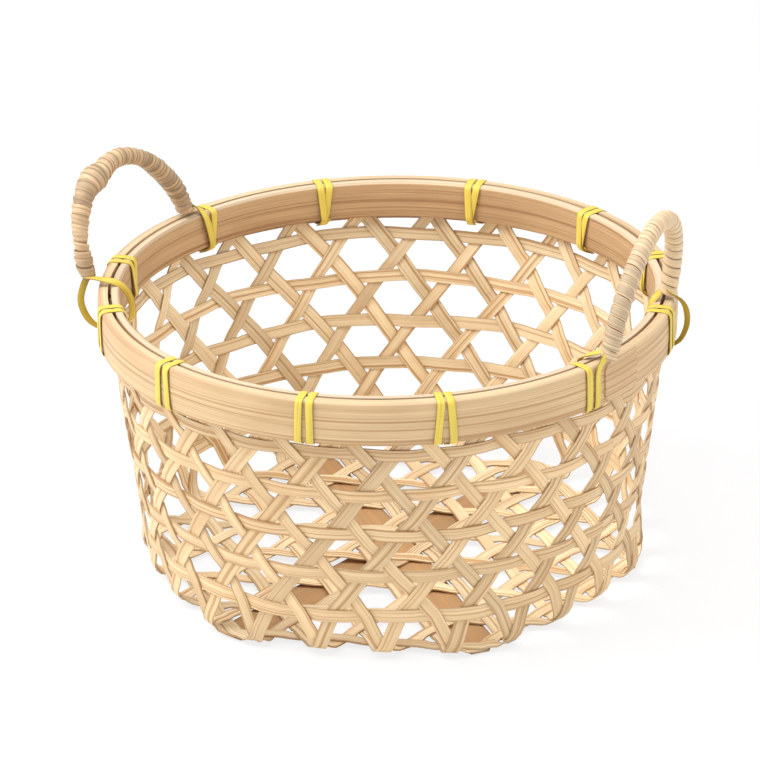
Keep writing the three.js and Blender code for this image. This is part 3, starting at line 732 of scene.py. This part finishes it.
def rim_section(points, direction):
    turn = Matrix.Rotation(direction, 3, "Z")
    return [turn @ Vector((reach, 0, height)) for reach, height in points]


def grooves(name, heights, width, depth):
    """Depth of long grooves in a hoop's face, which fade in and out round the rim."""
    waves = 2.2
    mean = 0.55
    dice = random.Random(name)
    seeds = [(height, dice.uniform(0, 50)) for height in heights]

    def groove(height, direction, strength):
        cut = 0
        for middle, seed in seeds:
            place = Vector((waves * math.cos(direction) + seed, waves * math.sin(direction), seed))
            shallow = noise.noise(place)
            drifted = middle + width * shallow
            cut += max(0, mean + shallow) * math.exp(-((height - drifted) / width) ** 2)
        return depth * strength * cut

    return groove


HOOP_STEPS = 300
FACE_STEPS = 52
# Rounding of a hoop's edges, and the points of that rounding in and up from the corner
EDGE_ROUND = 0.0009
EDGE_POINTS = ((1.2, 0), (0.4, 0.35))
# Share at which a hoop's face starts on the way across it, and the span of the face
FACE_START = 0.3
FACE_SPAN = 0.4
# Shares across and sides of the points under and over a hoop's face
LOW_FACES = [(0.5, 0), (FACE_START, 0.6), (FACE_START, 0.8)]
TOP_FACES = [(0.7, 1), (0.698, 1), (HIGHLIGHT_PLACE, 1)]
OUTER_BULGE = 0.0006
INNER_BULGE = 0.0004


def rim_hoop(name, face, back, low, high, bulge, groove, strength_at, start):
    """Split-bamboo hoop with rounded edges and a bulged, grooved face; its grain starts at a direction."""
    tall = high - low
    edge = EDGE_ROUND
    inward = 1 if back > face else -1
    heights = [low + edge + (tall - 2 * edge) * k / FACE_STEPS for k in range(FACE_STEPS + 1)]
    rings = []
    grain = []
    for k in range(HOOP_STEPS):
        direction = start + math.tau * k / HOOP_STEPS
        strength = strength_at(direction)
        section = [(back, low)]
        for wide, up in EDGE_POINTS:
            section.append((face + inward * wide * edge, low + up * edge))
        for height in heights:
            share = 2 * (height - low) / tall - 1
            reach = face + inward * (bulge * share * share + groove(height, direction, strength))
            section.append((reach, height))
        for wide, up in reversed(EDGE_POINTS):
            section.append((face + inward * (bulge + wide * edge), high - up * edge))
        section.append((back, high))
        rings.append(rim_section(section, direction))
        grain.append([(face * direction, height + reach) for reach, height in section])
    shares = [(height - low) / tall for height in heights]
    middle_faces = [(FACE_START + FACE_SPAN * share, 1) for share in shares]
    return loft(name, rings, grain, LOW_FACES + middle_faces + TOP_FACES, True)


def lap_tongue(sizes):
    """End of the outer hoop, lapped over its start: square-cut with round corners, thinning out behind."""
    tall = RIM_TOP - RIM_BOTTOM
    round_off = 0.005
    clear = 0.0008
    sunk = 0.0003
    thinning = 0.6
    steps = 28
    rows = 16
    rings = []
    grain = []
    for row in range(rows + 1):
        share = row / rows
        height = RIM_BOTTOM + clear + (tall - 2 * clear) * share
        from_edge = min(share, 1 - share) * tall
        short = max(0, 1 - from_edge / round_off)
        start = sizes.lap_angle + round_off * (1 - math.sqrt(1 - short * short)) / sizes.rim_radius
        crown = OUTER_BULGE * (2 * share - 1) ** 2
        top = []
        bed = []
        for step in range(steps + 1):
            direction = start + (sizes.lap_angle + sizes.lap_length - start) * step / steps
            rise = sizes.lap_step * (1 - thinning * (direction - sizes.lap_angle) / sizes.lap_length)
            top.append((sizes.rim_radius - crown + rise, direction))
            bed.append((sizes.rim_radius - crown - sunk, direction))
        loop = top + bed[::-1]
        rings.append([Matrix.Rotation(turned, 3, "Z") @ Vector((reach, 0, height))
                      for reach, turned in loop])
        grain.append([(sizes.rim_radius * turned, height) for reach, turned in loop])
    faces = [(0.5, 1)] * (2 * (steps + 1))
    return loft("lap_tongue", rings, grain, faces, False)


def joined(mesh, other):
    """One mesh of two."""
    pieces = [bpy.data.objects.new("joining", part) for part in (mesh, other)]
    for piece in pieces:
        bpy.context.scene.collection.objects.link(piece)
    with bpy.context.temp_override(active_object=pieces[0], selected_editable_objects=pieces):
        bpy.ops.object.join()
    bpy.data.objects.remove(pieces[0])
    return mesh


# Bands on the rim


def rim_places(sizes):
    """Named places of a band's middle line on the rim's section: reach, height and facing."""
    clear = 0.0002
    drawn_down = 0.0003
    past_weave = 0.0018
    off = clear + sizes.tape_thick / 2
    out = sizes.rim_radius + off
    inside = sizes.inner_face - off
    top = RIM_TOP + off - drawn_down
    under = RIM_BOTTOM - off
    under_in = INNER_BOTTOM - off
    turn = 0.0016
    return {
        "inner_low": (inside, under_in + turn, -1, 0),
        "under_in": (inside + turn, under_in, 0, -1),
        "under_middle": (sizes.wall_top + past_weave, under, 0, -1),
        "under_out": (out - turn, under, 0, -1),
        "outer_low": (out, under + turn, 1, 0),
        "outer_top": (out, top - turn, 1, 0),
        "top_out": (out - turn, top, 0, 1),
        "top_in": (inside + turn, top, 0, 1),
        "inner_top": (inside, top - turn, -1, 0),
    }


HIDDEN_TURNS = ("inner_low", "under_in", "under_middle")
UNDER_THE_RIM = HIDDEN_TURNS + ("under_out", "outer_low")
ROUND_THE_RIM = UNDER_THE_RIM + ("outer_top", "top_out", "top_in", "inner_top")
# Step from one layer of tape to the next, in thicknesses
LAYER_STEP = 1.1
# Ranges in mm of a tie's half spread below and above, its slip and its half spread at the inner foot
TIE_RANGES = ((2.5, 3.6), (2, 2.5), (-0.5, 0.5), (0.3, 0.9))
MM_IN_A_METRE = 1000


def rim_station(sizes, place, direction, aside, layer=0):
    """Place and facing of a band on the rim, aside of a direction and on a layer over the first."""
    reach, height, out, up = rim_places(sizes)[place]
    over = layer * LAYER_STEP * sizes.tape_thick
    turn = Matrix.Rotation(direction + aside / sizes.rim_radius, 3, "Z")
    return turn @ Vector((reach + out * over, 0, height + up * over)), turn @ Vector((out, 0, up))


def tie_direction(node):
    """Direction in which a tie lies from the middle of the basket."""
    low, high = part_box(node)
    return math.atan2(low.y + high.y, low.x + high.x)


def tie_stations(sizes, direction, name):
    """Two turns that splay down the outside and draw together down the inside."""
    dice = random.Random(name)
    low, high, slip, foot = (dice.uniform(*range_mm) / MM_IN_A_METRE for range_mm in TIE_RANGES)
    drawn = {place: low if place in UNDER_THE_RIM else high for place in ROUND_THE_RIM}
    drawn.update(inner_low=foot, under_in=foot, under_middle=low / 2)
    stations = []
    for turn, side in ((0, -1), (1, 1)):
        for place in ROUND_THE_RIM:
            aside = side * drawn[place] + (0 if place in UNDER_THE_RIM else slip)
            layer = turn if place in HIDDEN_TURNS else 0
            stations.append(rim_station(sizes, place, direction, aside, layer))
    for place in HIDDEN_TURNS:
        stations.append(rim_station(sizes, place, direction, drawn[place], 2))
    return stations


def nearest_turn(direction, other):
    """The same direction, a whole number of turns away, nearest to another."""
    return direction + math.tau * round((other - direction) / math.tau)


def placed(reach, height, direction, out, up, aside):
    """Place and facing of a band off the rim: how far it faces out and up, and a facing aside."""
    turn = Matrix.Rotation(direction, 3, "Z")
    return turn @ Vector((reach, 0, height)), (turn @ Vector((out, 0, up)) + aside).normalized()


# Places of a band in an eye: how far along it, and how far out
EYE_REACH = 0.0038
THROUGH_PLACES = ((-EYE_REACH, 0), (EYE_REACH, 0))
TUCKED_PLACES = ((-EYE_REACH, 0.0013), (-0.0006, 0), (-EYE_REACH, -0.0013))


def in_the_eye(hinge, half_span, end, places):
    """A band at places in the eye of a foot: through it, or tucked in and back out beside itself."""
    axis = Vector(hinge["axis"]).normalized()
    outward = axis.cross(UP)
    eye = Vector(hinge["pos_m"]) + axis * end * half_span
    tilted = (outward + UP).normalized()
    return [(eye + axis * along + outward * out, tilted) for along, out in places]


def loose_ring(sizes, hinge, half_span, face, slot, bulge, slack):
    """Slack ring through a foot: it bulges off the outside of the rim, and hangs slack off the inside."""
    foot = in_the_eye(hinge, half_span, 1, THROUGH_PLACES)
    entry = foot[0][0]
    way_out = foot[1][0]
    out_angle = nearest_turn(math.atan2(entry.y, entry.x), slot)
    in_angle = nearest_turn(math.atan2(way_out.y, way_out.x), slot)
    if slack < sizes.tape_width / 2:
        in_angle = slot
    tall = RIM_TOP - RIM_BOTTOM
    outside = sizes.rim_radius + bulge
    inside = sizes.inner_face - slack
    aside = Vector(hinge["axis"]) * face

    def towards(angle, share):
        return slot * (1 - share) + angle * share

    under = [rim_station(sizes, place, slot, 0) for place in (*HIDDEN_TURNS, "under_out")]
    bulged = [
        placed(outside - 0.45 * bulge, RIM_BOTTOM + 0.15 * tall, towards(out_angle, 0.2),
               1, -0.3, -0.7 * aside),
        placed(outside, RIM_BOTTOM + 0.55 * tall, towards(out_angle, 0.6), 0.3, 0, -aside),
        placed(outside - 0.3 * bulge, RIM_TOP, out_angle, 0.2, 0.1, -aside),
    ]
    hanging = [
        placed(sizes.inner_face + 0.001, RIM_TOP + 0.002, in_angle, 0, 0.6, 0.8 * aside),
        placed(inside + 0.2 * slack, RIM_TOP - 0.004, in_angle, -0.3, 0.3, aside),
        placed(inside, RIM_TOP - 0.6 * tall, towards(in_angle, 0.5), -0.5, 0, aside),
        placed(inside + 0.2 * slack, INNER_BOTTOM + 0.001, towards(in_angle, 0.2),
               -0.8, -0.2, 0.5 * aside),
    ]
    end = [rim_station(sizes, place, slot, 0.002, 1) for place in ("under_in", "under_middle")]
    return under + bulged + foot + hanging + end


def lashed_ring(sizes, foot, slot, splay, near):
    """Ring that takes a whole turn round the rim beside the foot, then a turn through the foot."""
    up_to_it = (
        (ROUND_THE_RIM, -splay, 0),
        (HIDDEN_TURNS, 0.3 * splay, 1),
        (("under_out", "outer_low", "outer_top"), splay, 0),
    )
    from_it = ((("top_in", "inner_top"), near, 2), (HIDDEN_TURNS, 0.2 * splay, 2))

    def laid(stretches):
        return [rim_station(sizes, place, slot, aside, layer)
                for places, aside, layer in stretches for place in places]

    return laid(up_to_it) + foot + laid(from_it)


# Handles


class Arch:
    """Middle line of a handle over its two eyes, measured along its length."""

    def __init__(self, sizes, hinge, half_span, lean, flats):
        self.axis = Vector(hinge["axis"]).normalized()
        outward = self.axis.cross(UP)
        self.middle = Vector(hinge["pos_m"])
        self.normal = outward * math.cos(lean) - UP * math.sin(lean)
        upward = outward * math.sin(lean) + UP * math.cos(lean) + self.axis * sizes.arch_skew
        steps = 400
        self.points = []
        for k in range(steps + 1):
            turned = math.pi * k / steps
            out = self.axis * half_span * math.cos(turned) + upward * sizes.arch_height * math.sin(turned)
            dent = sum(depth * math.exp(-((turned - place) / spread) ** 2)
                       for place, depth, spread in flats)
            self.points.append(self.middle + out - out.normalized() * dent * math.sin(turned))
        self.runs = [0.0]
        for one, two in zip(self.points, self.points[1:]):
            self.runs.append(self.runs[-1] + (two - one).length)
        self.length = self.runs[-1]

    def place(self, run):
        """Centre and direction at a run from the first eye, straight on past both ends."""
        inside = min(max(run, 0), self.length)
        low = 0
        high = len(self.runs) - 1
        while high - low > 1:
            middle = (low + high) // 2
            if self.runs[middle] <= inside:
                low = middle
            else:
                high = middle
        share = (inside - self.runs[low]) / (self.runs[high] - self.runs[low])
        along = (self.points[high] - self.points[low]).normalized()
        return self.points[low].lerp(self.points[high], share) + along * (run - inside), along

    def around(self, run, turned, radius):
        centre, along = self.place(run)
        side = self.normal.cross(along)
        return centre + self.normal * radius * math.cos(turned) + side * radius * math.sin(turned)


# Flats of the left arch: place in radians, depth and spread
LEFT_FLATS = ((1.35, 0.0026, 0.25), (1.9, 0.0015, 0.4), (2.65, 0.003, 0.4))
# Swells of the left handle: share of its length, size and spread
LEFT_SWELLS = ((0, -0.12, 0.05), (0.1, -0.4, 0.05), (0.29, 0.28, 0.05), (0.56, -0.3, 0.13), (1, -0.2, 0.11))
# Profile of a foot: run and radius in foot radii
FOOT_PROFILE = ((-1.0, 0.35), (-0.97, 0.6), (-0.88, 0.8), (-0.7, 0.95), (-0.45, 1), (0.5, 1), (1.1, 1))
FOOT_RUN = 0.006
DRILL_SIDES = 20
DRILL_REACH = 0.008


def fatness(share, swells):
    """Thickness of a handle along its length, from swells of a place, a size and a spread."""
    return 1 + sum(size * math.exp(-((share - place) / spread) ** 2) for place, size, spread in swells)


def handle_core(name, sizes, arch, swells):
    """Bent cane with a wider, rounded foot at each end and an eye through each foot."""
    sides = 24
    foot = sizes.foot_radius
    profile = [(share * foot, radius * foot) for share, radius in FOOT_PROFILE]
    steps = 60
    between = arch.length - 2 * FOOT_RUN
    middle = [(FOOT_RUN + between * k / steps, sizes.core_radius) for k in range(steps + 1)]
    profile += middle + [(arch.length - run, radius) for run, radius in profile[::-1]]
    rings = []
    grain = []
    for run, radius in profile:
        turns = [math.tau * k / sides for k in range(sides)]
        thick = radius * fatness(run / arch.length, swells)
        rings.append([arch.around(run, turned, thick) for turned in turns])
        grain.append([(run, radius * turned) for turned in turns])
    mesh = loft(name, rings, grain, [(0.5, 1)] * sides, False)
    return drilled(name, mesh, arch, sizes)


def drilled(name, mesh, arch, sizes):
    """The core with a round eye cut through each foot along the line that the handle swings about."""
    core = bpy.data.objects.new(name, mesh)
    bpy.context.scene.collection.objects.link(core)
    across = arch.axis.cross(UP)
    turns = [math.tau * k / DRILL_SIDES for k in range(DRILL_SIDES)]
    spokes = [(across * math.cos(turned) + UP * math.sin(turned)) * sizes.eye_radius for turned in turns]
    plain = [[(0, 0)] * DRILL_SIDES] * 2
    for eye in (arch.points[0], arch.points[-1]):
        rings = [[eye + arch.axis * far + spoke for spoke in spokes] for far in (-DRILL_REACH, DRILL_REACH)]
        drill = bpy.data.objects.new("drill", loft("drill", rings, plain, [(0.5, 0)] * DRILL_SIDES, False))
        bpy.context.scene.collection.objects.link(drill)
        cut = core.modifiers.new("eye", "BOOLEAN")
        cut.operation = "DIFFERENCE"
        cut.object = drill
        bpy.context.view_layer.update()
        evaluated = core.evaluated_get(bpy.context.evaluated_depsgraph_get())
        core.data = bpy.data.meshes.new_from_object(evaluated)
        core.modifiers.clear()
        bpy.data.objects.remove(drill)
    finished = core.data
    bpy.data.objects.remove(core)
    return finished


# Sections of the peel: places along the handle in pitches, and up its thickness
BUTTED_SECTION = ((-0.48, 0), (-0.48, 0.6), (-0.42, 0.85), (-0.2, 1),
                  (0.2, 1), (0.42, 0.85), (0.48, 0.6), (0.48, 0))
LAPPED_SECTION = ((-0.62, -0.1), (-0.62, 0.35), (-0.5, 0.5), (0.4, 1.05),
                  (0.6, 1.1), (0.68, 0.95), (0.68, 0.6), (0.4, 0.45))
# The stretch of a handle on which the peel lies double: its start and length as shares, and its rise
DOUBLE_START = 0.26
DOUBLE_LENGTH = 0.09
DOUBLE_RISE = 0.0008


def peel_wrap(name, sizes, arch, turns, section, unevenness, swells):
    """Rattan peel wound along the core in one band; uneven turns crowd, part and lie double on a shoulder."""
    steps = 22
    start = -0.0018
    clear = 0.0001
    most_proud = 0.0005
    wound = arch.length - 2 * start
    dice = random.Random(name)
    seed = dice.uniform(0, 90)
    rings = []
    grain = []
    for k in range(turns * steps + 1):
        turn = k / steps
        share = turn / turns
        inside = min(1, turn, turns - turn)
        easing = 0.25 * unevenness
        pitch = wound / turns * (1 + easing - 2 * easing * share)
        slant = noise.noise(Vector((seed, turn * 0.35, 5))) * math.cos(math.tau * turn + seed)
        strayed = noise.noise(Vector((seed, turn * 0.9, 0))) + 0.8 * slant
        crowd = strayed * 0.5 * unevenness * pitch * inside
        proud = noise.noise(Vector((seed, turn * 1.3, 7))) * unevenness * most_proud
        rising = (share - DOUBLE_START) * turns
        falling = (DOUBLE_START + DOUBLE_LENGTH - share) * 30
        doubled = min(1, max(0, rising), max(0, falling)) * unevenness * DOUBLE_RISE
        turned = math.tau * turn
        middle = start + wound * share * (1 + easing - easing * share) + crowd
        bed = sizes.core_radius * fatness(share, swells) + clear + max(0, proud) + doubled
        thick = sizes.peel_thick * (0.55 + 0.45 * inside) * (1 + 0.35 * unevenness)
        rings.append([arch.around(middle + wide * pitch, turned, bed + deep * thick)
                      for wide, deep in section])
        grain.append([(sizes.core_radius * turned, wide * pitch) for wide, deep in section])
    low = section[0][0]
    whole = section[-2][0] - low
    faces = [((wide - low) / whole, 1 if deep > 0.3 else 0) for wide, deep in section]
    return loft(name, rings, grain, faces, False)


# Operators


class BASKET_OT_weave_strips(bpy.types.Operator):
    """Weave the strips that cross the floor and climb the wall"""

    bl_idname = "basket.weave_strips"
    bl_label = "Weave strips"

    def execute(self, context):
        sizes = context.scene.basket_sizes
        colours = context.scene.basket_colours
        weave = Weave(sizes)
        material = bamboo("straw_strips", colours.straw, colours.straw_line, colours.pith,
                          line_waves=760, gloss=0.42, bump=0.5)

        def tapering(share):
            return strip_width(sizes, share)

        for direction, letter in enumerate("abc"):
            for count in range(STRIPS_PER_DIRECTION):
                name = f"{letter}{count + 1}"
                stations = strip_stations(weave, direction, count + HALF_ROW - FLOOR_ROWS)
                mesh = woven_strip(f"strip_{name}", weave, stations, tapering, False)
                add_piece(f"strip_{name}", mesh, material, "basket", [f"weave_strip_{name}"])
        return {"FINISHED"}


class BASKET_OT_base_slats(bpy.types.Operator):
    """Lay the two slats that cross under the floor"""

    bl_idname = "basket.base_slats"
    bl_label = "Base slats"

    def execute(self, context):
        sizes = context.scene.basket_sizes
        colours = context.scene.basket_colours
        weave = Weave(sizes)
        material = bamboo("slat_bamboo", colours.slat, colours.straw_line, colours.slat,
                          line_waves=420, gloss=0.5, bump=0.5)
        for count, corner in ((1, 1.5), (2, 2.5)):
            direction = sizes.floor_turn + corner * SIDE_ANGLE
            mesh = base_slat(f"slat_{count}", weave, direction, count == 2)
            add_piece(f"slat_{count}", mesh, material, "basket", [f"base_slat_{count}"])
        return {"FINISHED"}


class BASKET_OT_wall_hoops(bpy.types.Operator):
    """Weave the hoops round the wall"""

    bl_idname = "basket.wall_hoops"
    bl_label = "Wall hoops"

    def execute(self, context):
        sizes = context.scene.basket_sizes
        colours = context.scene.basket_colours
        weave = Weave(sizes)
        material = bamboo("straw_hoops", colours.straw, colours.straw_line, colours.pith,
                          line_waves=720, gloss=0.42, bump=0.5)
        for level, node in enumerate(HOOP_NODES):
            width = hoop_width(sizes, level)
            stations = hoop_stations(weave, level)
            mesh = woven_strip(f"hoop_{level + 1}", weave, stations, lambda share: width, True)
            add_piece(f"hoop_{level + 1}", mesh, material, "basket", [node])
        return {"FINISHED"}


class BASKET_OT_rim_hoops(bpy.types.Operator):
    """Bend the outer hoop with its lapped end and the inner hoop"""

    bl_idname = "basket.rim_hoops"
    bl_label = "Rim hoops"

    def execute(self, context):
        sizes = context.scene.basket_sizes
        colours = context.scene.basket_colours
        # The worn arguments paint a highlight on the hoops' top edges; on the inner hoop it is stronger and
        # also lightens the shade in the slit
        pale = bamboo("outer_bamboo", colours.hoop_pale, colours.hoop_tan, colours.inner_tan,
                      line_waves=850, gloss=0.4, bump=0.6, top_highlight=0.16, edge=colours.top_edge_highlight)
        tan = bamboo("inner_bamboo", colours.inner_pale, colours.inner_tan, colours.inner_tan,
                     line_waves=700, gloss=0.5, bump=0.6, top_highlight=0.42, edge=colours.top_edge_highlight)
        tall = RIM_TOP - RIM_BOTTOM
        levels = [RIM_BOTTOM + tall * (k + 0.6) / 11 for k in range(11)]
        coarse = grooves("outer", levels, width=0.0004, depth=0.00022)
        smoothest = math.radians(-50)

        def ridged(direction):
            return 0.35 + 0.65 * max(0, -math.cos(direction - smoothest))

        outer = rim_hoop("outer_hoop", sizes.rim_radius, sizes.wall_top + sizes.rim_slit,
                         RIM_BOTTOM, RIM_TOP, OUTER_BULGE, coarse, ridged,
                         sizes.lap_angle + sizes.lap_length / 2)
        lapped = joined(outer, lap_tongue(sizes))
        add_piece("outer_hoop", lapped, pale, "basket", ["rim_outer_hoop"])
        tall = RIM_TOP - INNER_BOTTOM
        levels = [INNER_BOTTOM + tall * (k + 0.4) / 12 for k in range(12)]
        fine = grooves("inner", levels, width=0.0003, depth=0.00014)
        inner = rim_hoop("inner_hoop", sizes.inner_face, sizes.wall_top - sizes.rim_slit,
                         INNER_BOTTOM, RIM_TOP, INNER_BULGE, fine, lambda direction: 1,
                         tie_direction(TIE_NODES[0]))
        add_piece("inner_hoop", inner, tan, "basket", ["rim_inner_hoop"])
        return {"FINISHED"}


class BASKET_OT_rim_ties(bpy.types.Operator):
    """Wind the tape ties round the rim"""

    bl_idname = "basket.rim_ties"
    bl_label = "Rim ties"

    def execute(self, context):
        sizes = context.scene.basket_sizes
        material = yellow_tape(context.scene.basket_colours)
        for node in TIE_NODES:
            name = node.replace("rim_", "tape_")
            stations = tie_stations(sizes, tie_direction(node), name)
            mesh = tape_band(name, stations, sizes.tape_width, sizes.tape_thick, TIE_CORNER)
            add_piece(name, mesh, material, "basket", [node])
        return {"FINISHED"}


class BASKET_OT_foot_rings(bpy.types.Operator):
    """Loop the tape rings from the rim through the feet of the handles"""

    bl_idname = "basket.foot_rings"
    bl_label = "Foot rings"

    def execute(self, context):
        sizes = context.scene.basket_sizes
        material = bpy.data.materials["yellow_tape"]
        right = HINGES["handle_right"]
        left = HINGES["handle_left"]
        right_foot = in_the_eye(right, sizes.right_span, -1, THROUGH_PLACES)
        left_foot = in_the_eye(left, sizes.left_span, -1, TUCKED_PLACES)
        routes = {
            "right_1": loose_ring(sizes, right, sizes.right_span, face=-1, slot=math.radians(10.5),
                                  bulge=0.0058, slack=0.0008),
            "right_2": lashed_ring(sizes, right_foot, slot=math.radians(-24.6), splay=0.0024, near=0.004),
            "left_1": loose_ring(sizes, left, sizes.left_span, face=1, slot=math.radians(201),
                                 bulge=0.0085, slack=0.005),
            "left_2": lashed_ring(sizes, left_foot, slot=math.radians(155), splay=0.0018, near=0.0045),
        }
        for name, stations in routes.items():
            width = sizes.ring_width if name.endswith("1") else sizes.tape_width
            mesh = tape_band(f"tape_ring_{name}", stations, width, sizes.tape_thick, RING_CORNER)
            add_piece(f"tape_ring_{name}", mesh, material, "basket", [f"foot_ring_{name}"])
        return {"FINISHED"}


class BASKET_OT_handles(bpy.types.Operator):
    """Bend the handles and wrap them in peel"""

    bl_idname = "basket.handles"
    bl_label = "Handles"

    def execute(self, context):
        sizes = context.scene.basket_sizes
        colours = context.scene.basket_colours
        brown = tuple(0.6 * value for value in colours.cane)
        cane = bamboo("bare_cane", colours.cane, brown, colours.cane, line_waves=700, gloss=0.5, bump=0.5)
        even = {"section": BUTTED_SECTION, "unevenness": 0.12, "swells": ()}
        uneven = {"section": LAPPED_SECTION, "unevenness": 1, "swells": LEFT_SWELLS}
        right_arch = Arch(sizes, HINGES["handle_right"], sizes.right_span, sizes.right_lean, ())
        left_arch = Arch(sizes, HINGES["handle_left"], sizes.left_span, sizes.left_lean, LEFT_FLATS)
        for side, arch, turns, winding, skin, shade, depth in (
            ("right", right_arch, sizes.right_turns, even, colours.peel, 0.55, 0.3),
            ("left", left_arch, sizes.left_turns, uneven, colours.peel_brown, 0.42, 0.75),
        ):
            body = f"handle_{side}"
            core = handle_core(f"cane_{side}", sizes, arch, winding["swells"])
            add_piece(f"cane_{side}", core, cane, body, [f"handle_{side}_core"])
            darker = tuple(shade * value for value in skin)
            peel = bamboo(f"peel_{side}", skin, darker, darker, line_waves=900, gloss=0.42, bump=0.45,
                          patch_waves=62, patch_depth=depth)
            wrap = peel_wrap(f"peel_{side}", sizes, arch, turns, **winding)
            add_piece(f"peel_{side}", wrap, peel, body, [f"handle_{side}_wrap"])
        return {"FINISHED"}


CAMERA_TARGET = Vector((0, 0, FLOOR_LEVEL + 0.0742))
CAMERA_DISTANCE = 2.5886
CAMERA_AZIMUTH = math.radians(22.5)
CAMERA_ELEVATION = math.radians(24.39)
CAMERA_ROLL = math.radians(-1.01)
CAMERA_LENS = 281.0
CAMERA_SHIFT = (-0.0122, 0.0202)
CAMERA_REACH = 20
# Light that the white world gives, and share of its own white that the floor shows to the camera
WORLD_LIGHT = 0.55
FLOOR_GLOW = 0.8
FLOOR_HALF = 3
FLOOR_DROP = 0.0002
FLOOR_GREY = 0.9


def looking(azimuth, elevation):
    """Direction from the basket towards a place seen at an azimuth and an elevation."""
    level = math.cos(elevation)
    return Vector((math.sin(azimuth) * level, -math.cos(azimuth) * level, math.sin(elevation)))


class BASKET_OT_stage(bpy.types.Operator):
    """Set the floor, the lamps, the world and the camera"""

    bl_idname = "basket.stage"
    bl_label = "Stage"

    def execute(self, context):
        scene = context.scene
        scene.view_settings.view_transform = "Standard"
        self.add_floor()
        self.add_world(scene)
        self.add_lamp("key", azimuth=-62, elevation=48, distance=1.5, size=1.1, power=18)
        self.add_lamp("fill", azimuth=100, elevation=35, distance=1.6, size=1.4, power=5.5)
        self.add_lamp("top", azimuth=20, elevation=80, distance=1.6, size=1.2, power=9)
        self.add_camera(scene)
        return {"FINISHED"}

    def add_camera(self, scene):
        data = bpy.data.cameras.new("camera")
        data.lens = CAMERA_LENS
        data.shift_x, data.shift_y = CAMERA_SHIFT
        data.clip_end = CAMERA_REACH
        camera = bpy.data.objects.new("camera", data)
        scene.collection.objects.link(camera)
        towards = looking(CAMERA_AZIMUTH, CAMERA_ELEVATION)
        camera.location = CAMERA_TARGET + towards * CAMERA_DISTANCE
        camera.rotation_mode = "QUATERNION"
        level = (-towards).to_track_quat("-Z", "Y")
        camera.rotation_quaternion = level @ Quaternion((0, 0, 1), CAMERA_ROLL)
        scene.camera = camera

    def add_lamp(self, name, azimuth, elevation, distance, size, power):
        data = bpy.data.lights.new(name, "AREA")
        data.shape = "DISK"
        data.size = size
        data.energy = power
        lamp = bpy.data.objects.new(name, data)
        bpy.context.scene.collection.objects.link(lamp)
        towards = looking(math.radians(azimuth), math.radians(elevation))
        lamp.location = CAMERA_TARGET + towards * distance
        lamp.rotation_mode = "QUATERNION"
        lamp.rotation_quaternion = (-towards).to_track_quat("-Z", "Y")

    def add_world(self, scene):
        world = bpy.data.worlds.new("studio")
        world.use_nodes = True
        nodes = world.node_tree.nodes
        light = nodes.new("ShaderNodeLightPath")
        strength = nodes.new("ShaderNodeMapRange")
        strength.inputs[3].default_value = WORLD_LIGHT
        strength.inputs[4].default_value = 1
        world.node_tree.links.new(light.outputs["Is Camera Ray"], strength.inputs[0])
        nodes["Background"].inputs[0].default_value = (1, 1, 1, 1)
        world.node_tree.links.new(strength.outputs[0], nodes["Background"].inputs[1])
        scene.world = world

    def add_floor(self):
        half = FLOOR_HALF
        corners = [(-half, -half, 0), (half, -half, 0), (half, half, 0), (-half, half, 0)]
        mesh = bpy.data.meshes.new("floor")
        mesh.from_pydata(corners, [], [(0, 1, 2, 3)])
        floor = bpy.data.objects.new("floor", mesh)
        bpy.context.scene.collection.objects.link(floor)
        floor.location.z = -FLOOR_DROP
        finish = Finish("white_floor")
        finish.surface.inputs["Base Color"].default_value = (FLOOR_GREY, FLOOR_GREY, FLOOR_GREY, 1)
        finish.surface.inputs["Roughness"].default_value = 0.9
        path = finish.add("ShaderNodeLightPath")
        glow = finish.add("ShaderNodeEmission", {"Color": (1, 1, 1, 1), "Strength": 1})
        share = finish.math("MULTIPLY", path.outputs["Is Camera Ray"], FLOOR_GLOW)
        shaders = {0: share, 1: finish.surface.outputs[0], 2: glow.outputs[0]}
        mixed = finish.add("ShaderNodeMixShader", shaders)
        finish.links.new(mixed.outputs[0], finish.nodes["Material Output"].inputs[0])
        mesh.materials.append(finish.material)


class BASKET_PT_panel(bpy.types.Panel):
    """Sizes, colours and steps of the basket"""

    bl_label = "Bamboo basket"
    bl_idname = "BASKET_PT_panel"
    bl_space_type = "VIEW_3D"
    bl_region_type = "UI"
    bl_category = "Basket"

    def draw(self, context):
        layout = self.layout
        for operator in OPERATORS:
            layout.operator(operator.bl_idname)
        for group in (context.scene.basket_sizes, context.scene.basket_colours):
            box = layout.box()
            for name in group.bl_rna.properties.keys():
                if name not in ("rna_type", "name"):
                    box.prop(group, name)


OPERATORS = (
    BASKET_OT_weave_strips,
    BASKET_OT_base_slats,
    BASKET_OT_wall_hoops,
    BASKET_OT_rim_hoops,
    BASKET_OT_rim_ties,
    BASKET_OT_foot_rings,
    BASKET_OT_handles,
    BASKET_OT_stage,
)
CLASSES = (BasketSizes, BasketColours, *OPERATORS, BASKET_PT_panel)


def register():
    for entry in CLASSES:
        bpy.utils.register_class(entry)
    bpy.types.Scene.basket_sizes = PointerProperty(type=BasketSizes)
    bpy.types.Scene.basket_colours = PointerProperty(type=BasketColours)


def unregister():
    del bpy.types.Scene.basket_colours
    del bpy.types.Scene.basket_sizes
    for entry in reversed(CLASSES):
        bpy.utils.unregister_class(entry)


def main():
    register()
    bpy.ops.basket.weave_strips()
    bpy.ops.basket.base_slats()
    bpy.ops.basket.wall_hoops()
    bpy.ops.basket.rim_hoops()
    bpy.ops.basket.rim_ties()
    bpy.ops.basket.foot_rings()
    bpy.ops.basket.handles()
    bpy.ops.basket.stage()


if __name__ == "__main__":
    main()
